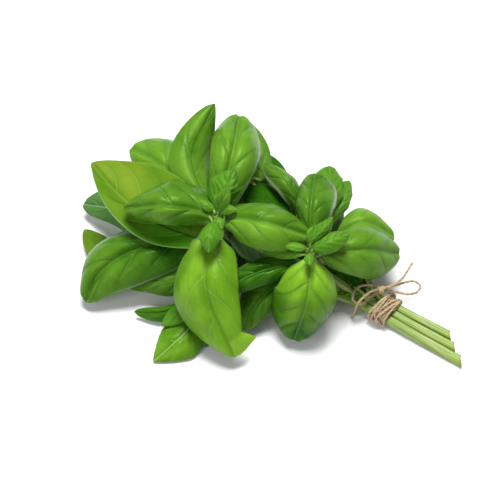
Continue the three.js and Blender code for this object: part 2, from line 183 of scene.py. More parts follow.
TABLE_SIZE = 4.0
table_top = Finish("white_table_top")
grain = table_top.noise(table_top.place(), 900.0, 3.0)
table_white = table_top.mix(grain, (0.93, 0.93, 0.94), (0.95, 0.95, 0.955))
deselect()
bpy.ops.mesh.primitive_plane_add(size=TABLE_SIZE, location=(0, 0, 0))
table = bpy.context.object
table.name = "table_top"
table.data.materials.append(
    table_top.finish(table_top.skin({"Base Color": table_white, "Roughness": 0.85}))
)

ROOM_COLOUR = (0.97, 0.985, 1.0, 1)
ROOM_STRENGTH = 0.25
world = bpy.context.scene.world or bpy.data.worlds.new("studio")
bpy.context.scene.world = world
world.use_nodes = True
room = world.node_tree.nodes["Background"]
room.inputs["Color"].default_value = ROOM_COLOUR
room.inputs["Strength"].default_value = ROOM_STRENGTH

# The plain transform keeps the table top as white as its finish makes it.
bpy.context.scene.view_settings.view_transform = "Standard"

LOOK_AT = Vector((-0.011, -0.0025, 0.030))


def soft_light(name, offset, size, power):
    """A rectangular lamp that faces the middle of the bunch."""
    lamp = bpy.data.lights.new(name, "AREA")
    lamp.shape = "RECTANGLE"
    lamp.size, lamp.size_y = size
    lamp.energy = power
    holder = bpy.data.objects.new(name, lamp)
    bpy.context.scene.collection.objects.link(holder)
    holder.location = LOOK_AT + Vector(offset)
    holder.rotation_euler = (-Vector(offset)).to_track_quat("-Z", "Y").to_euler()


soft_light("overhead_softbox", (-0.18, 0.27, 1.16), (0.55, 0.45), 21.0)
soft_light("front_fill", (-0.15, -1.15, 0.75), (0.8, 0.8), 5.5)

CAMERA_AZIMUTH = math.radians(35)
CAMERA_ELEVATION = math.radians(55)
CAMERA_DISTANCE = 0.805
CAMERA_LENS = 100
SENSOR_WIDTH = 36

deselect()
bpy.ops.object.camera_add()
camera = bpy.context.object
camera.data.lens = CAMERA_LENS
camera.data.sensor_width = SENSOR_WIDTH
towards_camera = Vector(
    (
        math.sin(CAMERA_AZIMUTH) * math.cos(CAMERA_ELEVATION),
        -math.cos(CAMERA_AZIMUTH) * math.cos(CAMERA_ELEVATION),
        math.sin(CAMERA_ELEVATION),
    )
)
camera.location = LOOK_AT + CAMERA_DISTANCE * towards_camera
camera.rotation_euler = towards_camera.to_track_quat("Z", "Y").to_euler()
bpy.context.scene.camera = camera

# ---------------------------------------------------------------------------------------
# The bow's loose twine: two loops and two tails of two-ply jute, about 1.5 mm thick. Each
# leaves the knot on top of the wrap, and the tails end in a small brush of loose fibres.
# ---------------------------------------------------------------------------------------

TWINE_DIAMETER = 1.5
TWINE_AROUND = 20
TWINE_RING_GAP = 0.16  # of the diameter
TWINE_UNEVENNESS = 0.05
UNEVEN_SPOTS = 12
PLY_PITCH = 6.0
PLY_WAIST = 0.74  # the twine's reach between its two plies, as a share of its radius
PLY_LOBE = 0.3  # what a ply adds to that
HEADING_REACH = 0.02  # of a route's length, to each side of the place that is read
CORD_PATH_POINTS = 40
LOWEST = 0.05  # nothing reaches lower than this above the table


class Route:
    """A smooth curve through given points, read by its share of length."""

    def __init__(self, points, divisions=240):
        self.points = [np.array(point, float) for point in points]
        divisions -= divisions % (len(points) - 1)
        self.divisions = divisions
        steps = np.arange(divisions + 1) / divisions
        self.samples = np.array([self.through(step) for step in steps])
        gaps = np.linalg.norm(np.diff(self.samples, axis=0), axis=1)
        self.length = gaps.sum()
        self.shares = np.r_[0, np.cumsum(gaps)] / self.length

    def through(self, step):
        """Centripetal Catmull-Rom, so the curve keeps close to its points at tight turns."""
        last = len(self.points) - 1
        index = min(int(step * last), last - 1)
        part = step * last - index
        start, end = self.points[index], self.points[index + 1]
        before = self.points[index - 1] if index else 2 * start - end
        after = self.points[index + 2] if index + 2 <= last else 2 * end - start
        pairs = ((before, start), (start, end), (end, after))
        first, middle, final = [np.linalg.norm(b - a) ** 0.5 for a, b in pairs]
        leaving = (start - before) / first - (end - before) / (first + middle) + (end - start) / middle
        arriving = (end - start) / middle - (after - start) / (middle + final) + (after - end) / final
        leaving = leaving * middle
        arriving = arriving * middle
        square = -3 * start + 3 * end - 2 * leaving - arriving
        cube = 2 * start - 2 * end + leaving + arriving
        return start + leaving * part + square * part**2 + cube * part**3

    def at(self, share):
        share = np.clip(share, 0, 1)
        axes = [np.interp(share, self.shares, self.samples[:, axis]) for axis in range(3)]
        return np.stack(axes, axis=-1)

    def heading(self, share):
        change = self.at(share + HEADING_REACH) - self.at(share - HEADING_REACH)
        return change / np.linalg.norm(change, axis=-1, keepdims=True)


def square_to(direction, axis):
    """The part of a direction that is square to an axis, at unit length."""
    direction = direction - np.sum(direction * axis, axis=-1, keepdims=True) * axis
    return direction / np.linalg.norm(direction, axis=-1, keepdims=True)


def carry_frames(route, shares, upwards=(0.0, 0.0, 1.0)):
    """Centres and two cross directions along a route, carried on without twisting."""
    centres, headings = route.at(shares), route.heading(shares)
    side, top = np.zeros_like(centres), np.zeros_like(centres)
    upwards = np.array(upwards)
    for index, along in enumerate(headings):
        upwards = square_to(upwards, along)
        top[index] = upwards
        side[index] = np.cross(upwards, along)
    return centres, side, top


def tube(name, centres, side, top, reach, turns, shift=0.0):
    """A closed tube: reach[i, j] is how far ring i's point j stands at the angle turns[j]."""
    rings, around = reach.shape
    cosines, sines = np.cos(turns), np.sin(turns)
    spread = cosines[None, :, None] * side[:, None] + sines[None, :, None] * top[:, None]
    points = (centres[:, None] + reach[..., None] * spread).reshape(-1, 3) * MM
    points[:, 2] = np.maximum(points[:, 2], LOWEST * MM)
    faces = []
    for ring in range(rings - 1):
        for point in range(around):
            here, turn = ring * around, (point + 1) % around
            faces.append((here + point, here + turn, here + around + turn, here + around + point))
    faces.append(tuple(range(around - 1, -1, -1)))
    faces.append(tuple(range((rings - 1) * around, rings * around)))
    mesh = bpy.data.meshes.new(name)
    mesh.from_pydata(points.tolist(), [], faces)
    piece = bpy.data.objects.new(name, mesh)
    bpy.context.scene.collection.objects.link(piece)
    mesh.shade_smooth()
    # Where on the tube each point lies: along it in millimetres, and around it as the cosine
    # and sine of its angle.
    along = np.r_[0, np.cumsum(np.linalg.norm(np.diff(centres, axis=0), axis=1))]
    lie = np.zeros((rings, around, 3))
    lie[..., 0] = along[:, None] + shift
    lie[..., 1] = cosines[None]
    lie[..., 2] = sines[None]
    mesh.attributes.new("lie", "FLOAT_VECTOR", "POINT").data.foreach_set("vector", lie.ravel())
    return piece


def twist(name, points, phase=0.0):
    """Two plies laid round each other along a route."""
    route = Route(points)
    rings = int(route.length / (TWINE_RING_GAP * TWINE_DIAMETER))
    shares = np.linspace(0, 1, rings)
    centres, side, top = carry_frames(route, shares)
    turns = np.arange(TWINE_AROUND) * 2 * math.pi / TWINE_AROUND
    twisting = phase + shares[:, None] * route.length * 2 * math.pi / PLY_PITCH
    lobes = np.abs(np.cos(turns[None] - twisting))
    rng = np.random.default_rng(int(route.length * 100))
    spots = np.linspace(0, 1, UNEVEN_SPOTS)
    uneven = 1 + TWINE_UNEVENNESS * np.interp(shares, spots, rng.uniform(-1, 1, UNEVEN_SPOTS))
    reach = 0.5 * TWINE_DIAMETER * (PLY_WAIST + PLY_LOBE * lobes**0.9) * uneven[:, None]
    shift = phase * PLY_PITCH / (2 * math.pi)
    piece = tube(name, centres, side, top, reach, turns, shift)
    piece.data.materials.append(dry_jute)
    return piece, route


def jute_finish():
    """Dry tan jute: fine fibres that wind with the ply, with painted shade in the grooves between the
    plies.
    """
    jute = Finish("jute_twine")
    along, cosine, sine = jute.attribute("lie")
    where = jute.place()
    patches = jute.noise(where, 260.0, 3.0)
    strands = jute.noise(jute.stretched(along * 0.6, cosine * 7.0, sine * 7.0), 1.6, 4.0, 0.7)
    winding = along * (2 * math.pi / PLY_PITCH)
    ply = abs(cosine * winding.cosine() + sine * winding.sine())
    tan = jute.mix(patches.ramp(0.35, 0.65), (0.30, 0.20, 0.10), (0.49, 0.36, 0.205))
    worn = jute.mix(strands.ramp(0.35, 0.75), tan, (0.64, 0.51, 0.345))
    # Painted shade in the grooves between the plies.
    colour = jute.mix(ply.ramp(0.0, 0.45), (0.24, 0.135, 0.06), worn)
    height = strands * 0.6 + patches * 0.4
    values = {
        "Base Color": colour,
        "Roughness": strands.ramp(0.2, 0.8, 0.95, 0.78),
        "Normal": jute.bump(height, 0.0004, 0.7),
    }
    return jute.finish(jute.skin(values))


dry_jute = jute_finish()

LOOP_LEFT = [
    (62.2, 25.8, 15.6), (59.3, 26.3, 16.2), (56.5, 25, 17.5), (51.5, 20.5, 18), (50, 15.5, 17.5),
    (51.5, 12, 15), (54, 11.5, 13.5), (57.5, 14, 13), (58.5, 18, 13.2), (60, 22, 14.3), (62.2, 25, 15.8),
]
LOOP_RIGHT = [
    (62.8, 26.2, 15.8), (65, 28, 15.2), (69, 30.5, 14.6), (75.5, 34, 13.5), (79, 38.5, 13),
    (78.5, 43, 13.5), (74, 43.5, 14), (70.5, 39.5, 14.8), (67.5, 34.5, 15.6), (64, 28.8, 17),
    (62.6, 25.8, 17.2),
]
TAIL_LEFT = [
    (62.6, 25.8, 16.6), (60.6, 23.6, 18), (58.5, 19, 19.3), (56.3, 11.5, 17.5), (55, 9, 9), (54, 9, 1.1),
]
TAIL_RIGHT = [
    (60.2, 23.6, 16.4), (61.9, 25.2, 17.9), (64, 27.2, 18.8), (66.5, 30.5, 19), (68.5, 38, 18.5),
    (68, 45.5, 18), (67.5, 51, 18),
]
KNOT_CENTRE = (62.4, 25.6, 16.8)


def loose_twine(name, points, node, phase):
    piece, route = twist(name, points, phase)
    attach(piece, "root")
    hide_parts(node)
    path = route.at(np.linspace(0, 1, CORD_PATH_POINTS)) * MM
    return route


# The last number starts each piece's twist at its own angle, so that no two look alike.
loose_twine("bow_loop_left", LOOP_LEFT, "twine_loop_left", 0.0)
loose_twine("bow_loop_right", LOOP_RIGHT, "twine_loop_right", 1.0)
tail_left = loose_twine("bow_tail_left", TAIL_LEFT, "twine_tail_left", 2.0)
tail_right = loose_twine("bow_tail_right", TAIL_RIGHT, "twine_tail_right", 0.5)

# ---------------------------------------------------------------------------------------
# The wrap and the knot: the same jute wound round the three stems, first side by side and
# then crosswise, pulled tight and tied off in the bow, whose small knot sits on top.
# ---------------------------------------------------------------------------------------

WRAP_DEEP_END = {"x": 63.6, "y": 22.3, "z": 7.4, "flat": 3.2, "radius": 5.4}
WRAP_SHALLOW_END = {"x": 73.4, "y": 22.5, "z": 4.9, "flat": 4.9, "radius": 2.6}
WRAP_CORNERS = 4  # the higher, the squarer the flat bundle's sides
LOWEST_CENTRE = 0.95  # of the turns that pass under the stems, where they rest on the table
WINDING_STEP = 15  # degrees of turn between the points of a winding
UNDER_LIFT = (0.5, 0.5)  # how far the twine's centre stands off the stems, at each end
CROSS_LIFT = (1.4, 2.1)
KNOT_TURNS = 2.4
KNOT_RADIUS = 1.75
KNOT_PITCH = 1.3
KNOT_AXIS = np.array([0.73, 0.68, 0.0])
KNOT_ACROSS = np.array([-0.68, 0.73, 0.0])


def wrap_point(place, turn, lift):
    """A point on the bundle: place runs from the deep end to the shallow one."""
    size = {}
    for key, deep in WRAP_DEEP_END.items():
        size[key] = deep * (1 - place) + WRAP_SHALLOW_END[key] * place
    reach = size["radius"] + lift
    across = size["flat"] * math.tanh(WRAP_CORNERS * math.cos(turn)) + reach * math.cos(turn)
    return size["x"], size["y"] + across, max(size["z"] + reach * math.sin(turn), LOWEST_CENTRE)


def winding(stations, lift):
    """Twine round the bundle, by its place at degrees of turn: 90 is on top, 180 in front."""
    first, last = stations[0][0], stations[-1][0]
    turns = np.arange(first, last + 1, WINDING_STEP)
    places = np.interp(turns, *zip(*stations))
    eased = np.convolve(np.pad(places, 1, mode="edge"), (0.25, 0.5, 0.25), mode="valid")
    lifts = np.interp(turns, (first, last), lift)
    return [wrap_point(*station) for station in zip(eased, np.radians(turns), lifts)]


def join(pieces, name):
    """Makes one piece of several and gives it its name."""
    deselect()
    for piece in pieces:
        piece.select_set(True)
    bpy.context.view_layer.objects.active = pieces[0]
    bpy.ops.object.join()
    pieces[0].name = name
    return pieces[0]


UNDER_TURNS = [(90, 0.28), (1890, 0.99)]
CROSS_TURNS = [
    (75, 0.25), (95, 0.15), (110, 0.08), (150, -0.02), (200, -0.15), (270, 0.2), (360, 0.75),
    (415, 0.92), (445, 0.57), (465, 0.42), (530, 0.13), (560, 0.05), (630, 0.4), (720, 0.9),
    (780, 1.0), (805, 0.8), (825, 0.65), (890, 0.4), (920, 0.35), (990, 0.7), (1080, 0.98),
    (1145, 0.98), (1180, 0.9), (1230, 0.88), (1270, 0.95), (1350, 0.6), (1440, 0.2), (1490, 0.25),
    (1520, 0.3), (1540, 0.33), (1590, 0.2), (1640, 0.08), (1710, 0.3), (1800, 0.5), (1880, 0.3),
    (1900, 0.1), (1950, 0.2), (1970, 0.45), (2005, 0.8), (2070, 0.9),
]

windings = [
    twist("wrap_under_turns", winding(UNDER_TURNS, UNDER_LIFT))[0],
    twist("wrap_cross_turns", winding(CROSS_TURNS, CROSS_LIFT), phase=1.3)[0],
]
wrap = join(windings, "wrap_of_twine")
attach(wrap, "root")
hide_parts("twine_wrap")


def knot_route():
    """The knot's coil, laid round the roots of the loops and tails."""
    upwards = np.array([0, 0, 1.0])
    points = []
    for turn in np.arange(0, KNOT_TURNS + 0.01, 1 / 12):
        angle = 2 * math.pi * turn
        ring = KNOT_RADIUS * (math.cos(angle) * KNOT_ACROSS + math.sin(angle) * upwards)
        along = (turn - KNOT_TURNS / 2) * KNOT_PITCH * KNOT_AXIS
        points.append(np.array(KNOT_CENTRE) + along + ring)
    return points


knot = twist("knot_of_twine", knot_route(), phase=0.4)[0]
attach(knot, "root")
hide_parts("twine_knot")


FIBRES = 16
FIBRE_SPREAD = 0.35
FIBRE_ROOT = (0.5, 1.5)  # how deep in the twine a fibre starts
FIBRE_LENGTH = (1.5, 3.6)
FIBRE_DROOP = 0.125  # of its length
FIBRE_RINGS = 6
FIBRE_AROUND = 5
FIBRE_RADIUS = (0.13, 0.05)  # at its root and its tip
FIBRE_LOWEST = 0.3


def frayed_end(name, route, seed):
    """Loose fibres that fan out from the cut end of a tail."""
    rng = random.Random(seed)
    end, along = route.at(1.0), route.heading(1.0)
    shares = np.linspace(0, 1, FIBRE_RINGS)
    reach = np.outer(np.linspace(*FIBRE_RADIUS, FIBRE_RINGS), np.ones(FIBRE_AROUND))
    turns = np.arange(FIBRE_AROUND) * 2 * math.pi / FIBRE_AROUND
    hairs = []
    for index in range(FIBRES):
        aim = along + np.array([rng.uniform(-FIBRE_SPREAD, FIBRE_SPREAD) for _ in range(3)])
        start = end - along * rng.uniform(*FIBRE_ROOT)
        start = start + np.array([rng.uniform(-0.5, 0.5) for _ in range(3)])
        length = rng.uniform(*FIBRE_LENGTH)
        droop = np.array([0, 0, -FIBRE_DROOP * length])
        points = [start, start + aim * length * 0.5, start + aim * length + droop]
        points = [np.array([x, y, max(z, FIBRE_LOWEST)]) for x, y, z in points]
        centres, side, top = carry_frames(Route(points, 12), shares, (0.3, 0.2, 0.9))
        hairs.append(tube(f"{name}_{index}", centres, side, top, reach, turns))
    brush = join(hairs, name)
    brush.data.materials.clear()
    brush.data.materials.append(dry_jute)
    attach(brush, "root")


frayed_end("frayed_tail_left", tail_left, seed=3)
frayed_end("frayed_tail_right", tail_right, seed=8)

# ---------------------------------------------------------------------------------------
# The stems: three cut sprigs and the side shoots that grow from them. A basil stem is square
# with rounded corners, a shallow groove along each face and a slight swelling at each joint.
# ---------------------------------------------------------------------------------------

STEM_AROUND = 32
STEM_RING_GAP = 1.2
STEM_CORNERS = 0.045  # how far the corners stand out, as a share of the radius
STEM_GROOVE = 0.13
GROOVE_WIDTH = 0.35
JOINT_SWELLING = 0.16
JOINT_LENGTH = 2.2
STEM_WANDER = 0.02
CUT_SLOPE = 0.85
CUT_LEAN = 0.2
PRESSED = 1.17  # the stems are a little thicker than their solids, so that they touch


def stem_finish():
    """Pale watery green, streaked along the grain, with painted shade in its grooves and above the tie,
    where the leaves shade it; yellower at the cut end and browner near the top."""
    flesh = Finish("stem_flesh")
    along, cosine, sine = flesh.attribute("lie")
    where = flesh.place()
    strip = flesh.stretched(along * 0.025, cosine * 2.2, sine * 2.2)
    streaks = flesh.noise(strip, 1.4)
    blotches = flesh.noise(where, 45.0)
    groove = abs(cosine * sine).ramp(0.24, 0.04)
    green = flesh.mix(streaks.ramp(0.42, 0.58), (0.155, 0.265, 0.014), (0.365, 0.445, 0.13))
    colour = flesh.coats(
        green,
        # Painted shade in the grooves along the stem's faces.
        (groove * 0.85, (0.14, 0.26, 0.008)),
        (along.ramp(14.0, 0.0) * 0.6, (0.25, 0.36, 0.015)),
        # Painted shade on the stems above the tie, under the leaves.
        (along.ramp(46.0, 66.0) * 0.6, (0.15, 0.24, 0.02)),
        (along.ramp(125.0, 140.0) * 0.6, (0.27, 0.24, 0.13)),
        (blotches.ramp(0.45, 0.75) * 0.35, (0.36, 0.46, 0.10)),
    )
    height = streaks * 0.7 + flesh.noise(where, 1400.0) * 0.3
    values = {
        "Base Color": colour,
        "Roughness": streaks.ramp(0.2, 0.8, 0.5, 0.36),
        "Subsurface Weight": 0.15,
        "Subsurface Radius": (0.4, 0.8, 0.15),
        "Subsurface Scale": 0.0015,
        "Normal": flesh.bump(height, 0.0003, 0.45),
    }
    return flesh.finish(flesh.skin(values))


stem_flesh = stem_finish()


def pith_finish():
    """The cut end: a wet pale ring of flesh round a whiter, spongy pith."""
    pith = Finish("stem_cut_face")
    cells = pith.noise(pith.place(), 2200.0)
    colour = pith.mix(cells.ramp(0.35, 0.7), (0.52, 0.60, 0.25), (0.72, 0.77, 0.46))
    values = {
        "Base Color": colour,
        "Roughness": cells.ramp(0.3, 0.7, 0.5, 0.35),
        "Normal": pith.bump(cells, 0.0003, 0.6),
    }
    return pith.finish(pith.skin(values))


stem_pith = pith_finish()
stems = {}


def stem(name, points, start_radius, end_radius, joints=(), cut=0.0):
    """A stem from its cut end upwards; joints are shares of its length, cut slopes its end."""
    route = Route(points)
    stems[name] = (route, start_radius, end_radius)
    shares = np.linspace(0, 1, int(route.length / STEM_RING_GAP))
    centres, side, top = carry_frames(route, shares)
    turns = (np.arange(STEM_AROUND) + 0.5) * 2 * math.pi / STEM_AROUND
    square = STEM_CORNERS * np.cos(4 * (turns - math.pi / 4))
    grooves = STEM_GROOVE * np.exp(-((np.abs(np.sin(2 * turns)) / GROOVE_WIDTH) ** 2))
    section = 1 + square - grooves
    radius = start_radius + (end_radius - start_radius) * shares
    for joint in joints:
        past_joint = (shares - joint) * route.length / JOINT_LENGTH
        radius *= 1 + JOINT_SWELLING * np.exp(-(past_joint**2))
    wander = np.sin(shares * route.length / 9.0 + start_radius * 7) * STEM_WANDER
    reach = PRESSED * radius[:, None] * section[None] * (1 + wander)[:, None]
    piece = tube(f"{name}_flesh", centres, side, top, reach, turns)
    piece.data.materials.append(stem_flesh)
    if cut:
        slide = cut * reach[0] * (CUT_LEAN * np.sin(turns) - np.cos(turns))
        for point, shift in zip(piece.data.vertices[:STEM_AROUND], slide):
            point.co += Vector(route.heading(0.0) * shift * MM)
        piece.data.materials.append(stem_pith)
        cut_face = piece.data.polygons[-2]  # a tube's last two faces are its start and its end
        cut_face.material_index = 1
        cut_face.use_smooth = False
    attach(piece, "root")
    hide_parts(name)


stem("sprig1_stem", [
    (121, 18.8, 2.7), (107.5, 18.5, 2.8), (87.5, 18, 3.6), (69, 17.4, 5), (52.5, 15, 8),
    (21.5, 1.5, 21), (-4, -7, 33), (-15.5, -10, 41), (-25.5, -11, 49), (-30, -9, 56),
], 2.5, 1.4, joints=(0.6, 0.93), cut=CUT_SLOPE)
stem("sprig2_stem", [
    (113.5, 24.3, 2.7), (100.5, 23.8, 2.9), (84.5, 22.9, 3.9), (68, 22.4, 5), (54.5, 19.7, 9),
    (40.5, 13, 22), (29.5, 7, 36), (25, 4, 50),
], 2.45, 1.5, joints=(0.6, 0.84, 0.96), cut=CUT_SLOPE)
stem("sprig3_stem", [
    (107.5, 29.8, 2.6), (94.5, 29.2, 2.8), (80, 28, 3.7), (67, 27.4, 5), (52, 26.5, 6.5),
    (23, 21, 11), (-3.5, 7.5, 17), (-22, -5, 24), (-32.5, -12.5, 32), (-43, -8.5, 37), (-49.5, -3.5, 40),
], 2.35, 1.2, joints=(0.38, 0.7, 0.86), cut=CUT_SLOPE)
stem("cut_stub", [(66.5, 24, 9.6), (60, 25.5, 11.3), (50.3, 28.6, 14.3)], 1.5, 1.4)
stem("shoot_back_stem", [
    (25, 22, 16), (10.5, 23.5, 20), (-7, 27.5, 27), (-26, 31.5, 34), (-37.5, 35, 37),
], 1.5, 1.1, joints=(0.5,))
stem("shoot_front_stem", [
    (-17.5, -3.5, 19.5), (-19, -15.5, 20), (-18.5, -29.5, 17), (-16.5, -40, 15),
], 1.4, 1)
stem("shoot_left_stem", [
    (-24.5, -8, 19), (-32.5, -14.5, 18), (-44, -21, 17), (-52, -24.5, 18),
], 1.3, 0.9)
stem("shoot_right_stem", [
    (28.5, 27.5, 13.5), (25.5, 30.5, 19), (21.5, 33, 27), (17, 35.5, 32),
], 1.4, 1)

# ---------------------------------------------------------------------------------------
# The leaves: thin glossy blades, puffed up between the veins and paler beneath, each on a
# short petiole that runs on under the blade as its midrib.
# ---------------------------------------------------------------------------------------

LEAF_THICKNESS = 0.35
PETIOLE_HALF_WIDTH = 0.9
FINE_PETIOLE_HALF_WIDTH = 0.6
TIP_PETIOLE_HALF_WIDTH = 0.45
FOOT_GAP = 0.8  # between the stem and the point where the petiole's own route begins
STEM_DEPTH = 0.45  # how deep a petiole is rooted, as a share of its stem's radius
COLUMNS_PER_MM = 1.3
ROWS_PER_MM = 1.15
RIB_SLANT = 0.7  # how far the blade follows the line between its edges, not its spine's bend
PANEL_PUFF = 0.045  # depths from here to the curl are shares of the blade's half width
MIDRIB_GUTTER = 0.045
EDGE_RIPPLE = 0.035
EDGE_CURL = 0.07
GUTTER_WIDTH = 1.6
BLADE_RISE = 0.15  # the upper face stands this far above the spine
# Painted light on a turned leaf tip.
FLAP_PAINTED_LIGHT = 0.9
STALK_AROUND = 12
STALK_GROOVE = 0.28  # along the top of the petiole, as a share of its radius
TOOTH_PITCH = 3.4
TOOTH_DEPTH = 0.004
CELL_SCALE = 640.0
# The colour of the painted pale reflection along a leaf's rim.
RIM_SHEEN_COLOUR = (0.52, 0.65, 0.42)
VEIN_GREEN = (0.26, 0.46, 0.09)
LEAF_GLOSS_TINT = (0.7, 1.0, 0.35, 1)


def between(first, second, share):
    """One constant colour, part of the way from the first to the second."""
    return (*(a + (b - a) * share for a, b in zip(first, second)), 1)


def cell_net(skin, where, width):
    """The net of the finest veins: 0 on its threads and 1 inside the cells."""
    values = {"Vector": where, "Scale": CELL_SCALE}
    cells = skin.add("ShaderNodeTexVoronoi", {"feature": "DISTANCE_TO_EDGE"}, values)
    return Value(skin, cells.outputs["Distance"]).ramp(0.0, width)


def thin_skin(skin, values, through, share):
    """A surface that lets a share of the light through, tinted by one constant colour."""
    lit_through = skin.add("ShaderNodeBsdfTranslucent", None, {"Color": through})
    glow = skin.add("ShaderNodeMixShader", None, {"Fac": share})
    skin.feed(glow.inputs[1], skin.skin(values))
    skin.feed(glow.inputs[2], lit_through.outputs[0])
    return skin.finish(glow.outputs[0])


def leaf_finish(name, dark, light, vein, sheen=0.30, shine=0.42):
    """Upper face: green from dark to light, by painted shade in the hollows, painted light on the puffs
    and the tone, which mostly paints light and shade; with pale sunk veins, painted shade in the creases
    and a painted pale reflection along the rim.
    """
    skin = Finish(name)
    across, along, tone = skin.attribute("blade_place")
    lateral, branch, puff = skin.attribute("blade_veins")
    rib, rim, gloss = skin.attribute("blade_marks")
    creased, veined, _ = skin.attribute("blade_creases")
    where = skin.place()
    edge = abs(across)
    cloud = skin.noise(where, 55.0, 3.0, 0.6)
    fine = skin.noise(where, 1300.0)
    net = cell_net(skin, where, 0.22)
    near_branch = abs(branch.fraction() - 0.5) * 2
    fading = edge.ramp(0.95, 0.5, 0.1, 1.0) * along.ramp(0.03, 0.12)
    crease = near_branch.ramp(0.80, 0.97) * fading
    branch_line = near_branch.ramp(0.90, 0.98) * fading
    rib_line = abs(lateral).ramp(0.6, 0.15)
    rung = skin.noise(skin.stretched(lateral * 0.9, branch * 0.8, tone * 7), 1.0, 2.0, 0.55)
    # The mix from dark to light green: random clouds, painted light on the puffs and painted light and
    # shade from the tone.
    shade = (cloud.ramp(0.3, 0.7) * 0.3 + puff * 0.2 + tone * 0.7 - 0.08).at_most(1.0)
    green = skin.coats(
        skin.mix(shade, dark, light),
        (rung.ramp(0.62, 0.38) * 0.09, dark),
        # Painted shade in the creases beside the side veins.
        (crease * creased * 0.36, dark),
        (branch_line * veined * 0.27, vein),
        (rib_line * rib * 0.6, vein),
        (along.ramp(0.16, 0.0) * 0.3, vein),
        # A painted pale reflection along the rim.
        ((edge - 1 + rim * 0.2).ramp(0.0, 0.16) * rim, RIM_SHEEN_COLOUR),
    )
    crinkle = skin.noise(where, 210.0)
    sunk = crease * creased * 0.8 + rib_line * 0.35
    height = net * 0.10 + fine * 0.06 + crinkle * 0.9 + rung * 0.25 - sunk
    values = {
        "Base Color": green,
        "Roughness": cloud.ramp(0.3, 0.7, sheen - 0.04, sheen + 0.08) - gloss,
        "IOR": 1.37,
        "Specular IOR Level": shine,
        "Specular Tint": LEAF_GLOSS_TINT,
        "Normal": skin.bump(height, 0.0006, 0.55),
    }
    return thin_skin(skin, values, between(dark, light, 0.6), 0.24)


def leaf_back_finish(name, light, vein):
    """Under face: paler, greyer and matt, with the veins standing out."""
    skin = Finish(name)
    across, _, tone = skin.attribute("blade_place")
    lateral, branch, puff = skin.attribute("blade_veins")
    where = skin.place()
    cloud = skin.noise(where, 70.0, 3.0)
    net = cell_net(skin, where, 0.2)
    near_branch = abs(branch.fraction() - 0.5) * 2
    branch_line = near_branch.ramp(0.84, 0.97) * abs(across).ramp(0.95, 0.55, 0.2, 1.0)
    rib_line = abs(lateral).ramp(1.1, 0.3)
    shaded = tuple(part * 0.72 for part in light)
    green = skin.coats(
        # Lighter in random clouds and by the tone, which paints light and shade here too.
        skin.mix(cloud.ramp(0.3, 0.7) * 0.5 + tone * 0.3, shaded, light),
        ((1 - net) * 0.25, vein),
        (branch_line * 0.6, vein),
        (rib_line * 0.7, vein),
    )
    height = branch_line * 0.6 + rib_line * 0.6 + (1 - net) * 0.3 + puff * 0.1
    values = {
        "Base Color": green,
        "Roughness": cloud.ramp(0.3, 0.7, 0.55, 0.68),
        "Normal": skin.bump(height, 0.0006, 0.5),
    }
    return thin_skin(skin, values, between(light, vein, 0.3), 0.16)


def petiole_finish():
    """Leaf stalks and raised midribs: pale green, faintly streaked."""
    stalk = Finish("leaf_stalk")
    along, cosine, sine = stalk.attribute("lie")
    streaks = stalk.noise(stalk.stretched(along * 0.08, cosine * 3.0, sine * 3.0), 1.6, 3.0)
    colour = stalk.mix(streaks.ramp(0.3, 0.7), (0.20, 0.38, 0.045), (0.42, 0.60, 0.14))
    values = {
        "Base Color": colour,
        "Roughness": streaks.ramp(0.3, 0.7, 0.5, 0.4),
        "Normal": stalk.bump(streaks, 0.0002, 0.5),
    }
    return stalk.finish(stalk.skin(values))


# Each kind of leaf: its slot, its upper finish and its lower one.
LEAF = (
    "leaf",
    leaf_finish("leaf_green", (0.004, 0.088, 0.0005), (0.18, 0.40, 0.028), VEIN_GREEN),
    leaf_back_finish("leaf_green_back", (0.16, 0.33, 0.075), (0.30, 0.46, 0.14)),
)
# A lighter copy of the green leaf: painted light for leaves that face the light.
PAINTED_LIT = (
    "leaf",
    leaf_finish("leaf_bright", (0.010, 0.11, 0.001), (0.285, 0.58, 0.03), (0.40, 0.60, 0.14)),
    LEAF[2],
)
YOUNG = (
    "young_leaf",
    leaf_finish("leaf_young", (0.03, 0.16, 0.002), (0.17, 0.41, 0.03), (0.30, 0.50, 0.10), 0.42),
    leaf_back_finish("leaf_young_back", (0.20, 0.38, 0.09), (0.34, 0.52, 0.17)),
)
PALE = (
    "pale_leaf",
    leaf_finish("leaf_pale", (0.05, 0.215, 0.004), (0.28, 0.385, 0.03), (0.38, 0.54, 0.12), 0.5, 0.18),
    leaf_back_finish("leaf_pale_back", (0.20, 0.34, 0.08), (0.34, 0.50, 0.15)),
)
BLUISH = (
    "bluish_leaf",
    leaf_finish("leaf_bluish", (0.03, 0.13, 0.02), (0.16, 0.34, 0.085), (0.40, 0.55, 0.33), 0.42),
    leaf_back_finish("leaf_bluish_back", (0.20, 0.36, 0.18), (0.40, 0.55, 0.33)),
)
SHADED = (
    "shaded_leaf",
    leaf_finish("leaf_shaded", (0.006, 0.07, 0.001), (0.08, 0.27, 0.006), (0.20, 0.38, 0.05), 0.34),
    leaf_back_finish("leaf_shaded_back", (0.12, 0.27, 0.05), (0.26, 0.42, 0.11)),
)
# A darker copy for leaves deep among the others: painted shade.
PAINTED_DEEP_SHADE = (
    "shaded_leaf",
    leaf_finish("leaf_deep", (0.010, 0.07, 0.001), (0.04, 0.19, 0.003), (0.08, 0.2, 0.02), 0.6, 0.12),
    leaf_back_finish("leaf_deep_back", (0.05, 0.14, 0.02), (0.10, 0.22, 0.05)),
)
stalk_flesh = petiole_finish()


def blade_width(along, outline):
    """Width of the blade along its length, 1 at the widest."""
    rise, fall = outline
    widest = rise / (rise + fall)
    inside = np.clip(along, 1e-6, 1 - 1e-6)
    return (inside / widest) ** rise * ((1 - inside) / (1 - widest)) ** fall


def smooth_step(value, low, high):
    """0 up to low, 1 from high on and smooth between them."""
    share = np.clip((value - low) / (high - low), 0, 1)
    return share * share * (3 - 2 * share)


def both(value):
    """The pair for a blade's two halves or ends, where one number may stand for both."""
    return value if isinstance(value, tuple) else (value, value)
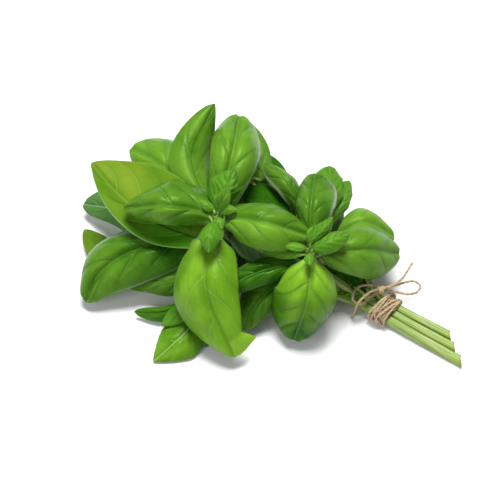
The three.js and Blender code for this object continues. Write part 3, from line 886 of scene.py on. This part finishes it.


# A leaf is set by where it grows on its stem, its spine and its left and right edge where it
# is widest. Its outline says how the width rises from the base and falls to the tip, and may be
# a pair of these, for the left half and the right; so may rim, how strongly a painted pale
# reflection lines the edge. The tone, how far the blade goes from its dark green to its light,
# mostly paints light and shade on it; it may be a pair for the base and the tip, and the side
# painted light adds to it on the left and the right. A flap is where painted light over a turned
# tip begins and on which half: -1 is left and 1 right; the blade itself is not turned. A corner
# juts from the edge of a half, and has a place, a half span and a reach. The others are how
# strongly a leaf shows its panels, veins, waves and so on.
def leaf(node, stem_name, share, spine, left, right, kind, outline=(0.5, 0.6), bulge=0.0,
         petiole=PETIOLE_HALF_WIDTH, quilting=1.0, veins=4.0, wave=0.5, tone=0.5, rib=0.5,
         rim=0.3, gloss=0.0, curl=1.0, roundness=0.55, cover=0.6, swell=1.0, gutter=1.0,
         crease=1.0, veined=1.0, side_painted_light=(0, 0), lobes=0.0, flap=None, corner=None,
         replaces=True):
    """A blade between a spine and the two edges where it is widest, on its petiole."""
    left_outline, right_outline = outline if isinstance(outline[0], tuple) else (outline, outline)
    rng = random.Random(node)

    # The petiole leaves the stem square to it, and the spine goes on from there.
    stem_route, start_radius, end_radius = stems[stem_name]
    centre, stem_heading = stem_route.at(share), stem_route.heading(share)
    outwards = square_to(np.array(spine[0]) - centre, stem_heading)
    stem_radius = start_radius + (end_radius - start_radius) * share
    foot = centre + outwards * (stem_radius + FOOT_GAP)
    route = Route([foot, *spine], 60)
    blade_start = route.shares[route.divisions // (len(route.points) - 1)]

    def curve_share(along):
        return blade_start + (1 - blade_start) * along

    # The two edges give the blade's tilt and width where it is widest.
    rise, fall = [(a + b) / 2 for a, b in zip(left_outline, right_outline)]
    widest = curve_share(rise / (rise + fall))
    heading = route.heading(widest)
    reaches = []
    for edge in (left, right):
        reach = np.array(edge, float) - route.at(widest)
        reaches.append(swell * (reach - np.dot(reach, heading) * heading))
    across = reaches[1] / np.linalg.norm(reaches[1]) - reaches[0] / np.linalg.norm(reaches[0])
    across /= np.linalg.norm(across)
    upper_face = np.cross(across, heading)
    half_width = max(np.linalg.norm(reach) for reach in reaches)
    blade_length = route.length * (1 - blade_start)
    base = blade_start * (1 - cover)

    # A flat grid, with about one column and one row a millimetre, is bent to the leaf's shape.
    columns = 2 * int(np.clip(half_width * COLUMNS_PER_MM, 12, 26))
    rows = int(np.clip(blade_length * ROWS_PER_MM, 28, 84))
    deselect()
    bpy.ops.mesh.primitive_grid_add(x_subdivisions=columns, y_subdivisions=rows, size=2)
    blade = bpy.context.object
    blade.name = f"{node}_blade"
    mesh = blade.data
    flat = np.empty(len(mesh.vertices) * 3)
    mesh.vertices.foreach_get("co", flat)
    flat = flat.reshape(-1, 3)
    lateral = flat[:, 0]
    station = (flat[:, 1] + 1) / 2

    # The outline: each half runs out from the spine to its own edge.
    place = base + (1 - base) * station
    blade_share = np.maximum((place - blade_start) / (1 - blade_start), 0)
    forwards = route.heading(place)
    up = square_to(upper_face, forwards)
    side = np.cross(forwards, up)
    side = side * (1 - RIB_SLANT) + across * RIB_SLANT
    side /= np.linalg.norm(side, axis=1, keepdims=True)
    on_right = lateral > 0
    spread = np.zeros_like(station)
    for half, side_outline in ((~on_right, left_outline), (on_right, right_outline)):
        broadest = curve_share(side_outline[0] / sum(side_outline))
        towards_broadest = np.clip((place - base) / (broadest - base), 0, 1)
        rounded = np.sin(math.pi / 2 * towards_broadest) ** roundness
        whole = np.where(place < broadest, rounded, blade_width(blade_share, side_outline))
        spread[half] = whole[half]
    out = np.where(on_right, reaches[1] @ across, reaches[0] @ across)
    lift = np.where(on_right, reaches[1] @ upper_face, reaches[0] @ upper_face)
    width = np.hypot(out, lift)
    spread = np.maximum(spread, petiole * (1 - 0.6 * station) / width)
    away = np.abs(lateral)
    tooth_turn = 2 * math.pi * station * blade_length / TOOTH_PITCH + 2 * on_right
    teeth = TOOTH_DEPTH * np.sin(tooth_turn) * away**10
    notches = lobes * np.abs(np.sin(math.pi * (2.3 * station**1.5 + 0.35 * on_right))) * away**4
    reach = away * spread * (1 + teeth - notches)
    if corner:
        hand, where, half_span, push = corner
        jut = np.clip(1 - np.abs(station - where) / half_span, 0, 1)
        reach += np.where(on_right == (hand > 0), jut * push * away**2, 0)

    # Side veins leave the midrib forwards and curve towards the tip; the blade puffs between.
    branch = veins * (station**0.92 - 0.2 * away - 0.16 * away**2) + 0.3 * on_right
    branch = branch + rng.uniform(0, 0.6)
    off_vein = 1 - 2 * np.abs(branch - np.floor(branch) - 0.5)
    puff = (1 - (1 - off_vein) ** 3) * smooth_step(away, 0.02, 0.3)
    puff = puff * (1 - 0.75 * away**2) * np.minimum(1, 1.6 * spread)
    crest = quilting * PANEL_PUFF * half_width * puff
    gutter_depth = MIDRIB_GUTTER * half_width * gutter
    channel = gutter_depth * np.exp(-((away * spread * half_width / GUTTER_WIDTH) ** 2))
    channel = channel * smooth_step(station, 0, 0.1)
    ripple = np.zeros_like(station)
    for turns, strength in ((1.6, 1.0), (3.1, 0.55)):
        ripple += strength * np.sin(2 * math.pi * (turns * station + rng.random()) + 2.0 * on_right)
    ripple *= wave * EDGE_RIPPLE * half_width * away**2.5 * np.minimum(1, 2 * spread)
    dome = bulge * spread * np.sin(math.pi * away)
    turned_edge = curl * EDGE_CURL * half_width * away**7 * np.minimum(1, 2 * spread)
    depth = dome + crest - channel + ripple - turned_edge + BLADE_RISE
    points = route.at(place) + side * (out * reach)[:, None] + up * (lift * reach + depth)[:, None]
    points[:, 2] = np.maximum(points[:, 2], LOWEST + LEAF_THICKNESS)
    mesh.vertices.foreach_set("co", (points * MM).ravel())

    # What the finishes read: the tone, which paints light and shade, the veins, the rim's painted pale
    # reflection and the gloss at each point.
    base_tone, tip_tone = both(tone)
    tones = base_tone + (tip_tone - base_tone) * station
    tones += np.where(on_right, side_painted_light[1], side_painted_light[0]) * smooth_step(away, 0.0, 0.1)
    # Painted light over the turned tip.
    if flap:
        start, hand = flap
        beyond = smooth_step(station, start, start + 0.05)
        tones += FLAP_PAINTED_LIGHT * beyond * smooth_step(lateral * hand, 0.05, 0.3)
    spots = np.stack([lateral, station, tones], axis=-1)
    lines = np.stack([lateral * spread * width, branch, puff], axis=-1)
    left_rim, right_rim = both(rim)
    rims = np.where(on_right, right_rim, left_rim)
    marks = np.stack([np.full_like(station, rib), rims, np.full_like(station, gloss)], axis=-1)
    creases = np.tile([crease, veined, 0], (len(station), 1))
    for name, numbers in (
        ("blade_place", spots),
        ("blade_veins", lines),
        ("blade_marks", marks),
        ("blade_creases", creases),
    ):
        carried = mesh.attributes.new(name, "FLOAT_VECTOR", "POINT")
        carried.data.foreach_set("vector", numbers.ravel())
    mesh.update()
    mesh.shade_smooth()

    slot_name, upper, under = kind
    mesh.materials.append(upper)
    mesh.materials.append(under)
    body = blade.modifiers.new("leaf thickness", "SOLIDIFY")
    body.thickness = LEAF_THICKNESS * MM
    body.offset = -1
    body.material_offset = 1
    body.material_offset_rim = 0
    bpy.ops.object.modifier_apply(modifier=body.name)

    rooted = outwards * (stem_radius * STEM_DEPTH + FOOT_GAP)
    stalk = leaf_stalk(node, route, blade_start, upper_face, petiole, rooted, outwards, gutter_depth)
    piece = join([blade, stalk], f"{node}_blade")
    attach(piece, "root")
    if replaces:
        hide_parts(node)


def leaf_stalk(node, route, blade_start, upper_face, petiole, rooted, outwards, gutter_depth):
    """The petiole, rooted in its stem, and the midrib that it becomes under the blade."""
    shares = np.r_[np.linspace(0, blade_start, 10)[:-1], np.linspace(blade_start, 0.97, 26)]
    centres = route.at(shares)
    forwards = route.heading(shares)
    up = square_to(upper_face, forwards)
    side = np.cross(forwards, up)
    beyond = np.clip((shares - blade_start) / (1 - blade_start), 0, 1)
    radius = petiole * (0.95 - 0.75 * beyond**0.6)
    sink = gutter_depth + LEAF_THICKNESS * 0.5 + radius * 0.75
    sink = sink * smooth_step(shares, 0.3 * blade_start, blade_start)
    centres = centres - up * sink[:, None]
    root = centres[0] - rooted
    collar = centres[0] - outwards * 0.5
    centres = np.vstack([root, collar, centres])
    side = np.vstack([side[0], side[0], side])
    up = np.vstack([up[0], up[0], up])
    radius = np.r_[radius[0] * 1.35, radius[0] * 1.15, radius]
    turns = np.arange(STALK_AROUND) * 2 * math.pi / STALK_AROUND
    section = 1 - STALK_GROOVE * np.exp(-(((turns - math.pi / 2) / 0.5) ** 2))
    stalk = tube(f"{node}_stalk", centres, side, up, radius[:, None] * section[None], turns)
    stalk.data.materials.append(stalk_flesh)
    return stalk


# Sprig 1: the tallest sprig, its growing tip turned upwards.
leaf("sprig1_young_upper", "sprig1_stem", 0.985, [(-31, -3, 61), (-30, 3, 69), (-33, 14, 73)],
     (-39, -1, 64), (-27, 9, 66), YOUNG, outline=(0.5, 0.7), quilting=2.0, veins=6.0, swell=1.45,
     roundness=0.5)
leaf("sprig1_young_small", "sprig1_stem", 1, [(-28, -9, 64), (-26, -7, 72), (-26, -2, 78)],
     (-30, -9, 72), (-22, -5, 72), YOUNG, outline=(0.5, 0.7), petiole=FINE_PETIOLE_HALF_WIDTH,
     quilting=1.4)
leaf("sprig1_young_lower", "sprig1_stem", 0.985, [(-27, -16, 60), (-21, -28, 65), (-17, -34, 59)],
     (-18, -19, 60), (-27, -30, 60), YOUNG, outline=(0.5, 0.7), quilting=1.6, veins=4.5, swell=1.1,
     roundness=0.3, rim=0.6, cover=0.8)
leaf("sprig1_leaf_left", "sprig1_stem", 0.965, [(-35, -12, 58), (-54, -26, 66), (-79, -33, 52)],
     (-54, -33, 56), (-64, -4, 60), LEAF, outline=(0.4, 0.6), bulge=3, tone=(0.4, 0.7), rib=0.15,
     quilting=1.2, veins=3.5, gloss=0.05, roundness=0.3, cover=0.8, crease=0.6)
leaf("sprig1_leaf_right", "sprig1_stem", 0.96, [(-21, -6, 57), (0, 0, 63), (20, 13, 51)],
     (-13, 15, 57), (5, -11, 53), LEAF, outline=(0.4, 0.48), bulge=3, rib=0.2, quilting=1.1,
     veins=3.4, roundness=0.3, cover=0.8, crease=0.7, side_painted_light=(-0.1, 0.45))
leaf("sprig1_leaf_top", "sprig1_stem", 0.935, [(-35, 5, 54), (-45, 29, 66), (-61, 58, 58)],
     (-57, 22, 64), (-36, 45, 56), LEAF, outline=((0.4, 0.27), (0.4, 0.3)), bulge=3,
     tone=(0.7, 0.85), quilting=1.3, veins=3.0, gloss=0.05, rim=(0.15, 0.7), curl=1.3, crease=0.8)
leaf("sprig1_leaf_pointed", "sprig1_stem", 0.92, [(-43, 1, 50), (-65, 16, 58), (-72, 49, 70)],
     (-80, 13, 60), (-63, 31, 47), LEAF, outline=((0.5, 0.52), (0.5, 0.95)), bulge=2, tone=0.6,
     rib=0.0, quilting=0.5, veins=2.6, gutter=0.3, crease=0.4)
leaf("sprig1_leaf_drooping", "sprig1_stem", 0.93,
     [(-24, -20, 50), (-11, -46, 43), (8, -55, 23), (17, -57, 10)],
     (3, -33, 38), (-34, -48, 31), PAINTED_LIT, outline=((0.45, 0.8), (0.45, 0.5)), bulge=3,
     tone=(0.6, 0.7), rib=0.15, quilting=0.4, veins=3.2, curl=0.8, rim=(0.1, 0.5), crease=0.2,
     flap=(0.84, -1), roundness=0.28, corner=(-1, 0.93, 0.1, 0.6))
leaf("sprig1_leaf_low_front", "sprig1_stem", 0.63, [(17, -4, 27), (11, -22, 23), (8, -38, 6)],
     (17, -26, 12), (-3, -21, 20), LEAF, bulge=2, tone=0.2, gloss=0.04, rim=(0.5, 0.1))
leaf("sprig1_leaf_low_right", "sprig1_stem", 0.58, [(22, -1, 12), (28, -5, 8), (35, -11, 2)],
     (34, 1, 5), (20, -8, 5), SHADED)

# Sprig 2: the short sprig near the tie.
leaf("sprig2_leaf_lower", "sprig2_stem", 0.87, [(20, 1, 37), (6, -16, 39), (-9, -34, 29)],
     (8, -24, 33), (-4, -10, 36), LEAF, outline=(0.5, 0.5), bulge=2, tone=-0.05, gloss=0.12,
     quilting=1.1, veined=0.4)
leaf("sprig2_leaf_shaded", "sprig2_stem", 0.82, [(15, 9, 30), (0, 0, 30), (-19, -7, 29)],
     (3, -4, 25), (-4, 5, 31), SHADED)
leaf("sprig2_young_left", "sprig2_stem", 0.99, [(21.5, -1, 51), (12, -3, 46.5), (-2, -6, 41)],
     (12, -5, 43), (11, 1, 46), YOUNG, outline=(0.5, 0.7), petiole=FINE_PETIOLE_HALF_WIDTH,
     quilting=2.0, veins=5.0, wave=1.5)
leaf("sprig2_young_right", "sprig2_stem", 0.99, [(28, 3, 57), (35, 10, 63), (40, 23, 59)],
     (29, 16, 60), (39, 7, 58), YOUNG, outline=(0.5, 0.7), quilting=2.0, veins=5.5, wave=1.0,
     rim=0.4, roundness=0.4)
leaf("sprig2_young_upper", "sprig2_stem", 1, [(25, 5, 59), (28, 11, 66), (28, 23, 65)],
     (22, 16, 63), (31, 13, 64), YOUNG, outline=(0.5, 0.7), petiole=FINE_PETIOLE_HALF_WIDTH,
     quilting=2.0, veins=5.0, wave=1.5)
leaf("sprig2_leaf_top", "sprig2_stem", 0.96, [(17, 17, 49), (10, 28, 58), (-2, 51, 53)],
     (-1, 28, 50), (19, 41, 51), LEAF, outline=(0.35, 0.15), bulge=2, tone=0.45, rib=0.4,
     rim=(0.1, 0.8), curl=1.4, roundness=0.4, crease=0.7)
leaf("sprig2_leaf_right", "sprig2_stem", 0.95, [(33, 11, 47), (49, 27, 45), (60, 49, 24)],
     (41, 46, 40), (53, 18, 30), LEAF, outline=(0.5, 0.32), bulge=3, tone=0.8, rib=0.2,
     quilting=0.8, curl=1.2, roundness=0.4, crease=0.6)
leaf("sprig2_leaf_front", "sprig2_stem", 0.965, [(28, 2, 47), (38, -16, 38), (37, -27, 7)],
     (49, -1, 31), (17, -21, 26), PAINTED_LIT, outline=((0.3, 0.3), (0.3, 0.26)), bulge=3,
     tone=(1.2, -0.3), quilting=1.3, veins=4.5, curl=1.3, roundness=0.25, rim=(0.2, 0.3),
     crease=0.7, veined=0.7)
leaf("sprig2_small_leaf_1", "sprig2_stem", 0.64, [(42, 18, 21), (36, 18, 26), (29, 22, 28)],
     (32, 14, 22), (40, 25, 22), SHADED, outline=(0.5, 0.5))
leaf("sprig2_small_leaf_2", "sprig2_stem", 0.58, [(49, 23, 15), (45, 23, 20), (36, 27, 22)],
     (41, 18, 17), (47, 31, 18), SHADED)

# Sprig 3: the long low sprig under the other two.
leaf("sprig3_leaf_pale", "sprig3_stem", 0.87,
     [(-35, -20, 43), (-62, -26, 46), (-89, -25, 50), (-114, -18, 53)],
     (-57, -38, 40), (-80, 1, 57), PALE, outline=((0.5, 0.8), (0.6, 0.9)), bulge=-2, rib=0.3,
     quilting=0.4, veins=5.0, tone=(-0.15, 0.85), curl=0.0, rim=(0.5, 0.2), crease=0.3,
     side_painted_light=(-0.4, 0.0))
leaf("sprig3_leaf_back", "sprig3_stem", 1, [(-53, 2, 44), (-80, 7, 49), (-108, 11, 42)],
     (-93, -1, 42), (-105, 31, 42), LEAF, outline=((0.5, 0.5), (0.75, 0.3)), bulge=2, tone=0.9,
     rib=0.2, quilting=0.8, rim=(0.3, 0.8), crease=0.6, roundness=0.9)
leaf("sprig3_leaf_big", "sprig3_stem", 0.84,
     [(-43, -21, 34), (-65, -43, 33), (-76, -61, 23), (-78, -75, 7)],
     (-58, -60, 16), (-98, -62, 20), LEAF, outline=((0.5, 0.7), (0.5, 0.24)), bulge=3,
     tone=(-0.2, 0.65), rib=0.2, quilting=1.3, gloss=0.06, rim=(0.5, 0.7), curl=1.3, crease=0.5,
     veined=0.7, corner=(1, 0.72, 0.16, 0.05))
leaf("sprig3_leaf_inner", "sprig3_stem", 0.7, [(-14, 6, 13), (-28, 7, 14), (-49, 9, 9)],
     (-27, -4, 10), (-26, 21, 12), SHADED, outline=(0.5, 0.5))
leaf("sprig3_leaf_low", "sprig3_stem", 0.42, [(33, 36, 12), (33, 52, 9), (37, 69, 1)],
     (23, 59, 5), (40, 50, 5), SHADED)
leaf("sprig3_small_leaf", "sprig3_stem", 0.34, [(47, 31, 9), (42, 33, 11), (36, 36, 11)],
     (40, 29, 9), (44, 39, 8), SHADED)

# Shoot to the left, low under the big leaves.
leaf("shoot_left_leaf_bluish", "shoot_left_stem", 1, [(-62, -28, 22), (-97, -18, 18), (-123, -21, 9)],
     (-104, -24, 11), (-123, -2, 19), BLUISH, outline=((0.7, 0.5), (0.5, 0.42)), tone=0.4, rib=0.8,
     quilting=0.5, roundness=1.2, cover=0.0)
leaf("shoot_left_leaf_tip", "shoot_left_stem", 0.9, [(-52, -42, 12), (-80, -42, 11), (-112, -34, 6)],
     (-85, -53, 8), (-87, -32, 9), PALE, rib=0.2, quilting=0.4, tone=0.4, crease=0.4)
leaf("shoot_left_leaf_under", "shoot_left_stem", 0.1, [(-32, -17, 15), (-52, -17, 11), (-80, -22, 4)],
     (-45, -30, 5), (-61, -1, 10), SHADED, outline=(0.5, 0.5))

# Shoot to the front, low under the drooping leaf.
leaf("shoot_front_leaf_edge", "shoot_front_stem", 0.5, [(-31, -29, 21), (-42, -43, 19), (-57, -53, 13)],
     (-37, -45, 10), (-48, -37, 20), LEAF, outline=(0.5, 0.9))
leaf("shoot_front_leaf_thin", "shoot_front_stem", 0.8, [(-25, -43, 12), (-36, -56, 9), (-51, -63, 5)],
     (-35, -59, 3), (-39, -54, 10), SHADED, outline=(0.5, 0.5), bulge=1)
leaf("shoot_front_leaf_pale", "shoot_front_stem", 1, [(-16, -56, 11), (-18, -69, 9), (-23, -82, 2)],
     (-4, -58, 4), (-32, -70, 5), PAINTED_LIT, outline=((0.35, 0.9), (0.4, 0.85)), bulge=1,
     tone=(0.0, 0.75), rib=1.2, quilting=0.3, veins=6.0, crease=0.3)
leaf("shoot_front_leaf_small", "shoot_front_stem", 0.85,
     [(-22, -45, 17), (-27, -55, 14), (-31, -63, 9)],
     (-21, -57, 12), (-34, -53, 11), YOUNG, outline=(0.5, 0.7))
leaf("shoot_front_leaf_dark", "shoot_front_stem", 0.86, [(-19, -49, 9), (-11, -53, 8), (-3, -57, 3)],
     (-8, -49, 6), (-13, -58, 6), BLUISH, tone=0.3)

# Shoot to the back.
leaf("shoot_back_leaf_folded", "shoot_back_stem", 0.45, [(-2, 34, 38), (-13, 39, 49), (-33, 44, 47)],
     (-19, 34, 44), (-11, 48, 41), LEAF, outline=(0.5, 0.45), bulge=2, tone=0.4, quilting=1.2,
     veins=3.0, rim=(1.0, 0.1), curl=1.4)
leaf("shoot_back_leaf_dark", "shoot_back_stem", 0.55, [(-11, 35, 29), (-27, 44, 27), (-51, 65, 24)],
     (-42, 32, 27), (-23, 57, 26), SHADED, outline=(0.5, 0.5), bulge=-2)
leaf("shoot_back_leaf_jagged", "shoot_back_stem", 1, [(-32, 40, 37), (-43, 53, 43), (-62, 67, 45)],
     (-57, 53, 41), (-43, 62, 41), LEAF)
leaf("shoot_back_leaf_low_1", "shoot_back_stem", 0.95, [(-49, 22, 18), (-76, 33, 11), (-102, 37, 1)],
     (-80, 23, 6), (-77, 46, 6), SHADED)
leaf("shoot_back_leaf_low_2", "shoot_back_stem", 0.62, [(-25, 24, 18), (-51, 50, 12), (-73, 76, 1)],
     (-60, 46, 6), (-46, 60, 6), SHADED)
leaf("shoot_back_leaf_low_3", "shoot_back_stem", 0.4, [(-11, 33, 16), (-25, 50, 11), (-44, 73, 1)],
     (-35, 47, 6), (-20, 60, 6), SHADED)

# Shoot to the right, behind the short sprig.
leaf("shoot_right_leaf_top", "shoot_right_stem", 1, [(13, 40, 37), (8, 53, 42), (-4, 70, 39)],
     (-6, 55, 37), (10, 65, 38), YOUNG, outline=(0.5, 0.3), quilting=1.4, veins=5.0, wave=2.5,
     lobes=0.14)
leaf("shoot_right_leaf_side", "shoot_right_stem", 0.9, [(17, 42, 32), (16, 55, 36), (10, 71, 34)],
     (6, 58, 33), (20, 57, 32), YOUNG, outline=(0.5, 0.3), quilting=1.4, veins=5.0, wave=2.5,
     lobes=0.14)
leaf("shoot_right_leaf_wide", "shoot_right_stem", 0.75, [(26, 36, 34), (36, 48, 38), (51, 58, 24)],
     (26, 59, 34), (43, 38, 33), LEAF, outline=(0.5, 0.4), bulge=2, tone=1.0, rib=0.1, quilting=0.5,
     rim=(0.6, 0.2), curl=1.2, crease=0.4)
leaf("shoot_right_leaf_low", "shoot_right_stem", 0.3, [(15, 35, 14), (6, 54, 10), (-6, 82, 1)],
     (-5, 53, 6), (14, 61, 6), SHADED)

# Small leaves low on the stems close the gaps between the sprigs, dark with painted shade.
leaf("low_leaf_centre", "sprig1_stem", 0.8, [(-14, 0, 34), (-28, 18, 30), (-42, 34, 24)],
     (-38, 14, 28), (-20, 26, 28), SHADED, outline=(0.5, 0.5), replaces=False)
leaf("low_leaf_on_stem", "sprig1_stem", 0.86, [(-19, -8, 48), (-8, -8, 44), (6, -4, 38)],
     (-6, -15, 40), (-9, 0, 42), PAINTED_DEEP_SHADE, outline=(0.5, 0.5), replaces=False)
leaf("low_leaf_back", "shoot_back_stem", 0.35, [(-5, 32, 26), (-14, 42, 26), (-30, 54, 22)],
     (-22, 34, 24), (-10, 52, 24), SHADED, outline=(0.5, 0.5), replaces=False)
leaf("low_leaf_over_shoot", "shoot_back_stem", 0.3, [(-8, 28, 34), (-19, 29, 37), (-37, 28, 38)],
     (-20, 20, 35), (-17, 40, 35), PAINTED_DEEP_SHADE, outline=(0.5, 0.4), quilting=0.3, replaces=False)
leaf("low_leaf_left", "sprig3_stem", 0.64, [(-22, -4, 22), (-36, -6, 20), (-52, -2, 15)],
     (-38, -22, 16), (-44, 10, 18), SHADED, outline=(0.5, 0.5), replaces=False)
leaf("low_leaf_right", "sprig3_stem", 0.5, [(20, 26, 10), (8, 30, 9), (-8, 30, 6)],
     (6, 18, 6), (4, 42, 7), SHADED, outline=(0.5, 0.5), replaces=False)
leaf("low_leaf_under", "sprig3_stem", 0.6, [(2, 12, 12), (-8, 4, 9), (-22, -4, 4)],
     (-4, -6, 5), (-16, 10, 6), SHADED, outline=(0.5, 0.5), replaces=False)

# Small leaves crushed against the stems just above the tie.
for number, base, tip, left, right, kind in (
    (1, (51, 26, 14), (38, 17, 23), (46, 15, 17), (43, 25, 19), LEAF),
    (2, (51, 28, 14), (40, 38, 13), (41, 31, 16), (50, 36, 10), PAINTED_DEEP_SHADE),
    (3, (50, 25, 14), (35, 28, 21), (40, 20, 20), (44, 32, 15), SHADED),
    (4, (53, 18, 13), (42, 12, 15), (47, 11, 12), (47, 17, 17), YOUNG),
    (5, (44, 17, 21), (30, 11, 33), (35, 9, 25), (37, 17, 27), PAINTED_DEEP_SHADE),
    (6, (52, 20, 13), (44, 20, 21), (46, 15, 16), (50, 23, 18), PAINTED_DEEP_SHADE),
):
    middle = tuple((a + b) / 2 + rise for a, b, rise in zip(base, tip, (0, 0, 2)))
    leaf(f"crushed_leaf_{number}", "sprig2_stem", 0.5, [base, middle, tip], left, right, kind,
         outline=(0.5, 0.5), quilting=2.0, wave=3.0, tone=0.4, replaces=False)

# Tiny leaves that have just opened round each growing tip.
SPRIG1_TIP_LEAVES = (
    ("left", [(-32, -8, 59), (-36, -9, 62), (-41, -9, 62)], (-37, -12, 60), (-37, -6, 61)),
    ("right", [(-28, -8, 60), (-24, -5, 63), (-20, -2, 62)], (-26, -2, 62), (-22, -7, 61)),
    ("front", [(-28, -11, 59), (-24, -14, 62), (-20, -17, 60)], (-22, -11, 60), (-26, -17, 60)),
    ("back", [(-30, -6, 60), (-32, -2, 64), (-35, 2, 65)], (-36, -3, 63), (-29, 0, 63)),
)
SPRIG2_TIP_LEAVES = (
    ("left", [(23, 3, 53), (18, 0, 55), (11, -2, 53)], (17, -3, 53), (17, 3, 54)),
    ("right", [(27, 6, 54), (31, 9, 57), (35, 12, 56)], (28, 11, 56), (33, 7, 55)),
    ("front", [(27, 2, 53), (29, -2, 56), (32, -6, 55)], (32, -1, 54), (27, -5, 54)),
    ("back", [(24, 7, 54), (22, 11, 58), (21, 16, 59)], (19, 10, 57), (25, 12, 57)),
)
for sprig, tone, tip_leaves in (("sprig1", 0.5, SPRIG1_TIP_LEAVES), ("sprig2", 0.7, SPRIG2_TIP_LEAVES)):
    for name, spine, left, right in tip_leaves:
        leaf(f"{sprig}_tip_leaf_{name}", f"{sprig}_stem", 0.995, spine, left, right, YOUNG,
             petiole=TIP_PETIOLE_HALF_WIDTH, quilting=1.4, veins=3.5, tone=tone, replaces=False)

# ---------------------------------------------------------------------------------------
# The growing tips: a tight bud of unopened leaves at the end of each upright sprig, six
# finely wrinkled scales that grow out of the stem's tip and overlap round it.
# ---------------------------------------------------------------------------------------

def bud_finish():
    """Unopened leaves: fresh light green, finely wrinkled."""
    tip = Finish("bud_green")
    wrinkles = tip.noise(tip.place(), 900.0, 3.0)
    colour = tip.mix(wrinkles.ramp(0.35, 0.65), (0.10, 0.28, 0.02), (0.27, 0.50, 0.09))
    values = {
        "Base Color": colour,
        "Roughness": wrinkles.ramp(0.3, 0.7, 0.45, 0.6),
        "Normal": tip.bump(wrinkles, 0.0005, 0.6),
    }
    return tip.finish(tip.skin(values))


bud_green = bud_finish()

BUD_SCALES = 6
SCALE_TURN = 0.382  # of a full turn from each scale to the next, as leaves follow one another
SCALE_WIDTH = 0.62
SCALE_SHORTER = 0.06  # by how much each scale is shorter than the one before it
SCALE_SPREAD = 0.42


def bud(node, stem_name):
    """A tight bud, sized by the box of its solid, that leans the way its stem does."""
    low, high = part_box(node)
    core = (low + high) / 2
    size = (high - low) / 2
    lean = Vector(stems[stem_name][0].heading(1.0))
    tilt = lean.normalized().to_track_quat("Z", "Y")
    scales = []
    for index in range(BUD_SCALES):
        turn = index * 2 * math.pi * SCALE_TURN
        deselect()
        bpy.ops.mesh.primitive_uv_sphere_add(segments=16, ring_count=10, radius=1, location=(0, 0, 0))
        scale = bpy.context.object
        scale.name = f"{node}_scale_{index}"
        outwards = Vector((math.cos(turn), math.sin(turn), 0))
        for point in scale.data.vertices:
            along = (point.co.z + 1) / 2
            pinch = math.sin(math.pi * min(1, along * 0.9 + 0.12)) ** 0.7
            x, y = (part * SCALE_WIDTH * pinch for part in point.co.xy)
            shape = Vector((x, y, point.co.z * (1 - SCALE_SHORTER * index)))
            shape += outwards * SCALE_SPREAD * (1 - along) * (0.5 + 0.1 * index)
            shape.x *= size.x
            shape.y *= size.x
            shape.z *= size.z
            point.co = core + tilt @ shape
        scale.data.shade_smooth()
        scales.append(scale)
    piece = join(scales, f"{node}_scales")
    piece.data.materials.clear()
    piece.data.materials.append(bud_green)
    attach(piece, "root")
    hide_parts(node)


bud("sprig1_bud", "sprig1_stem")
bud("sprig2_bud", "sprig2_stem")
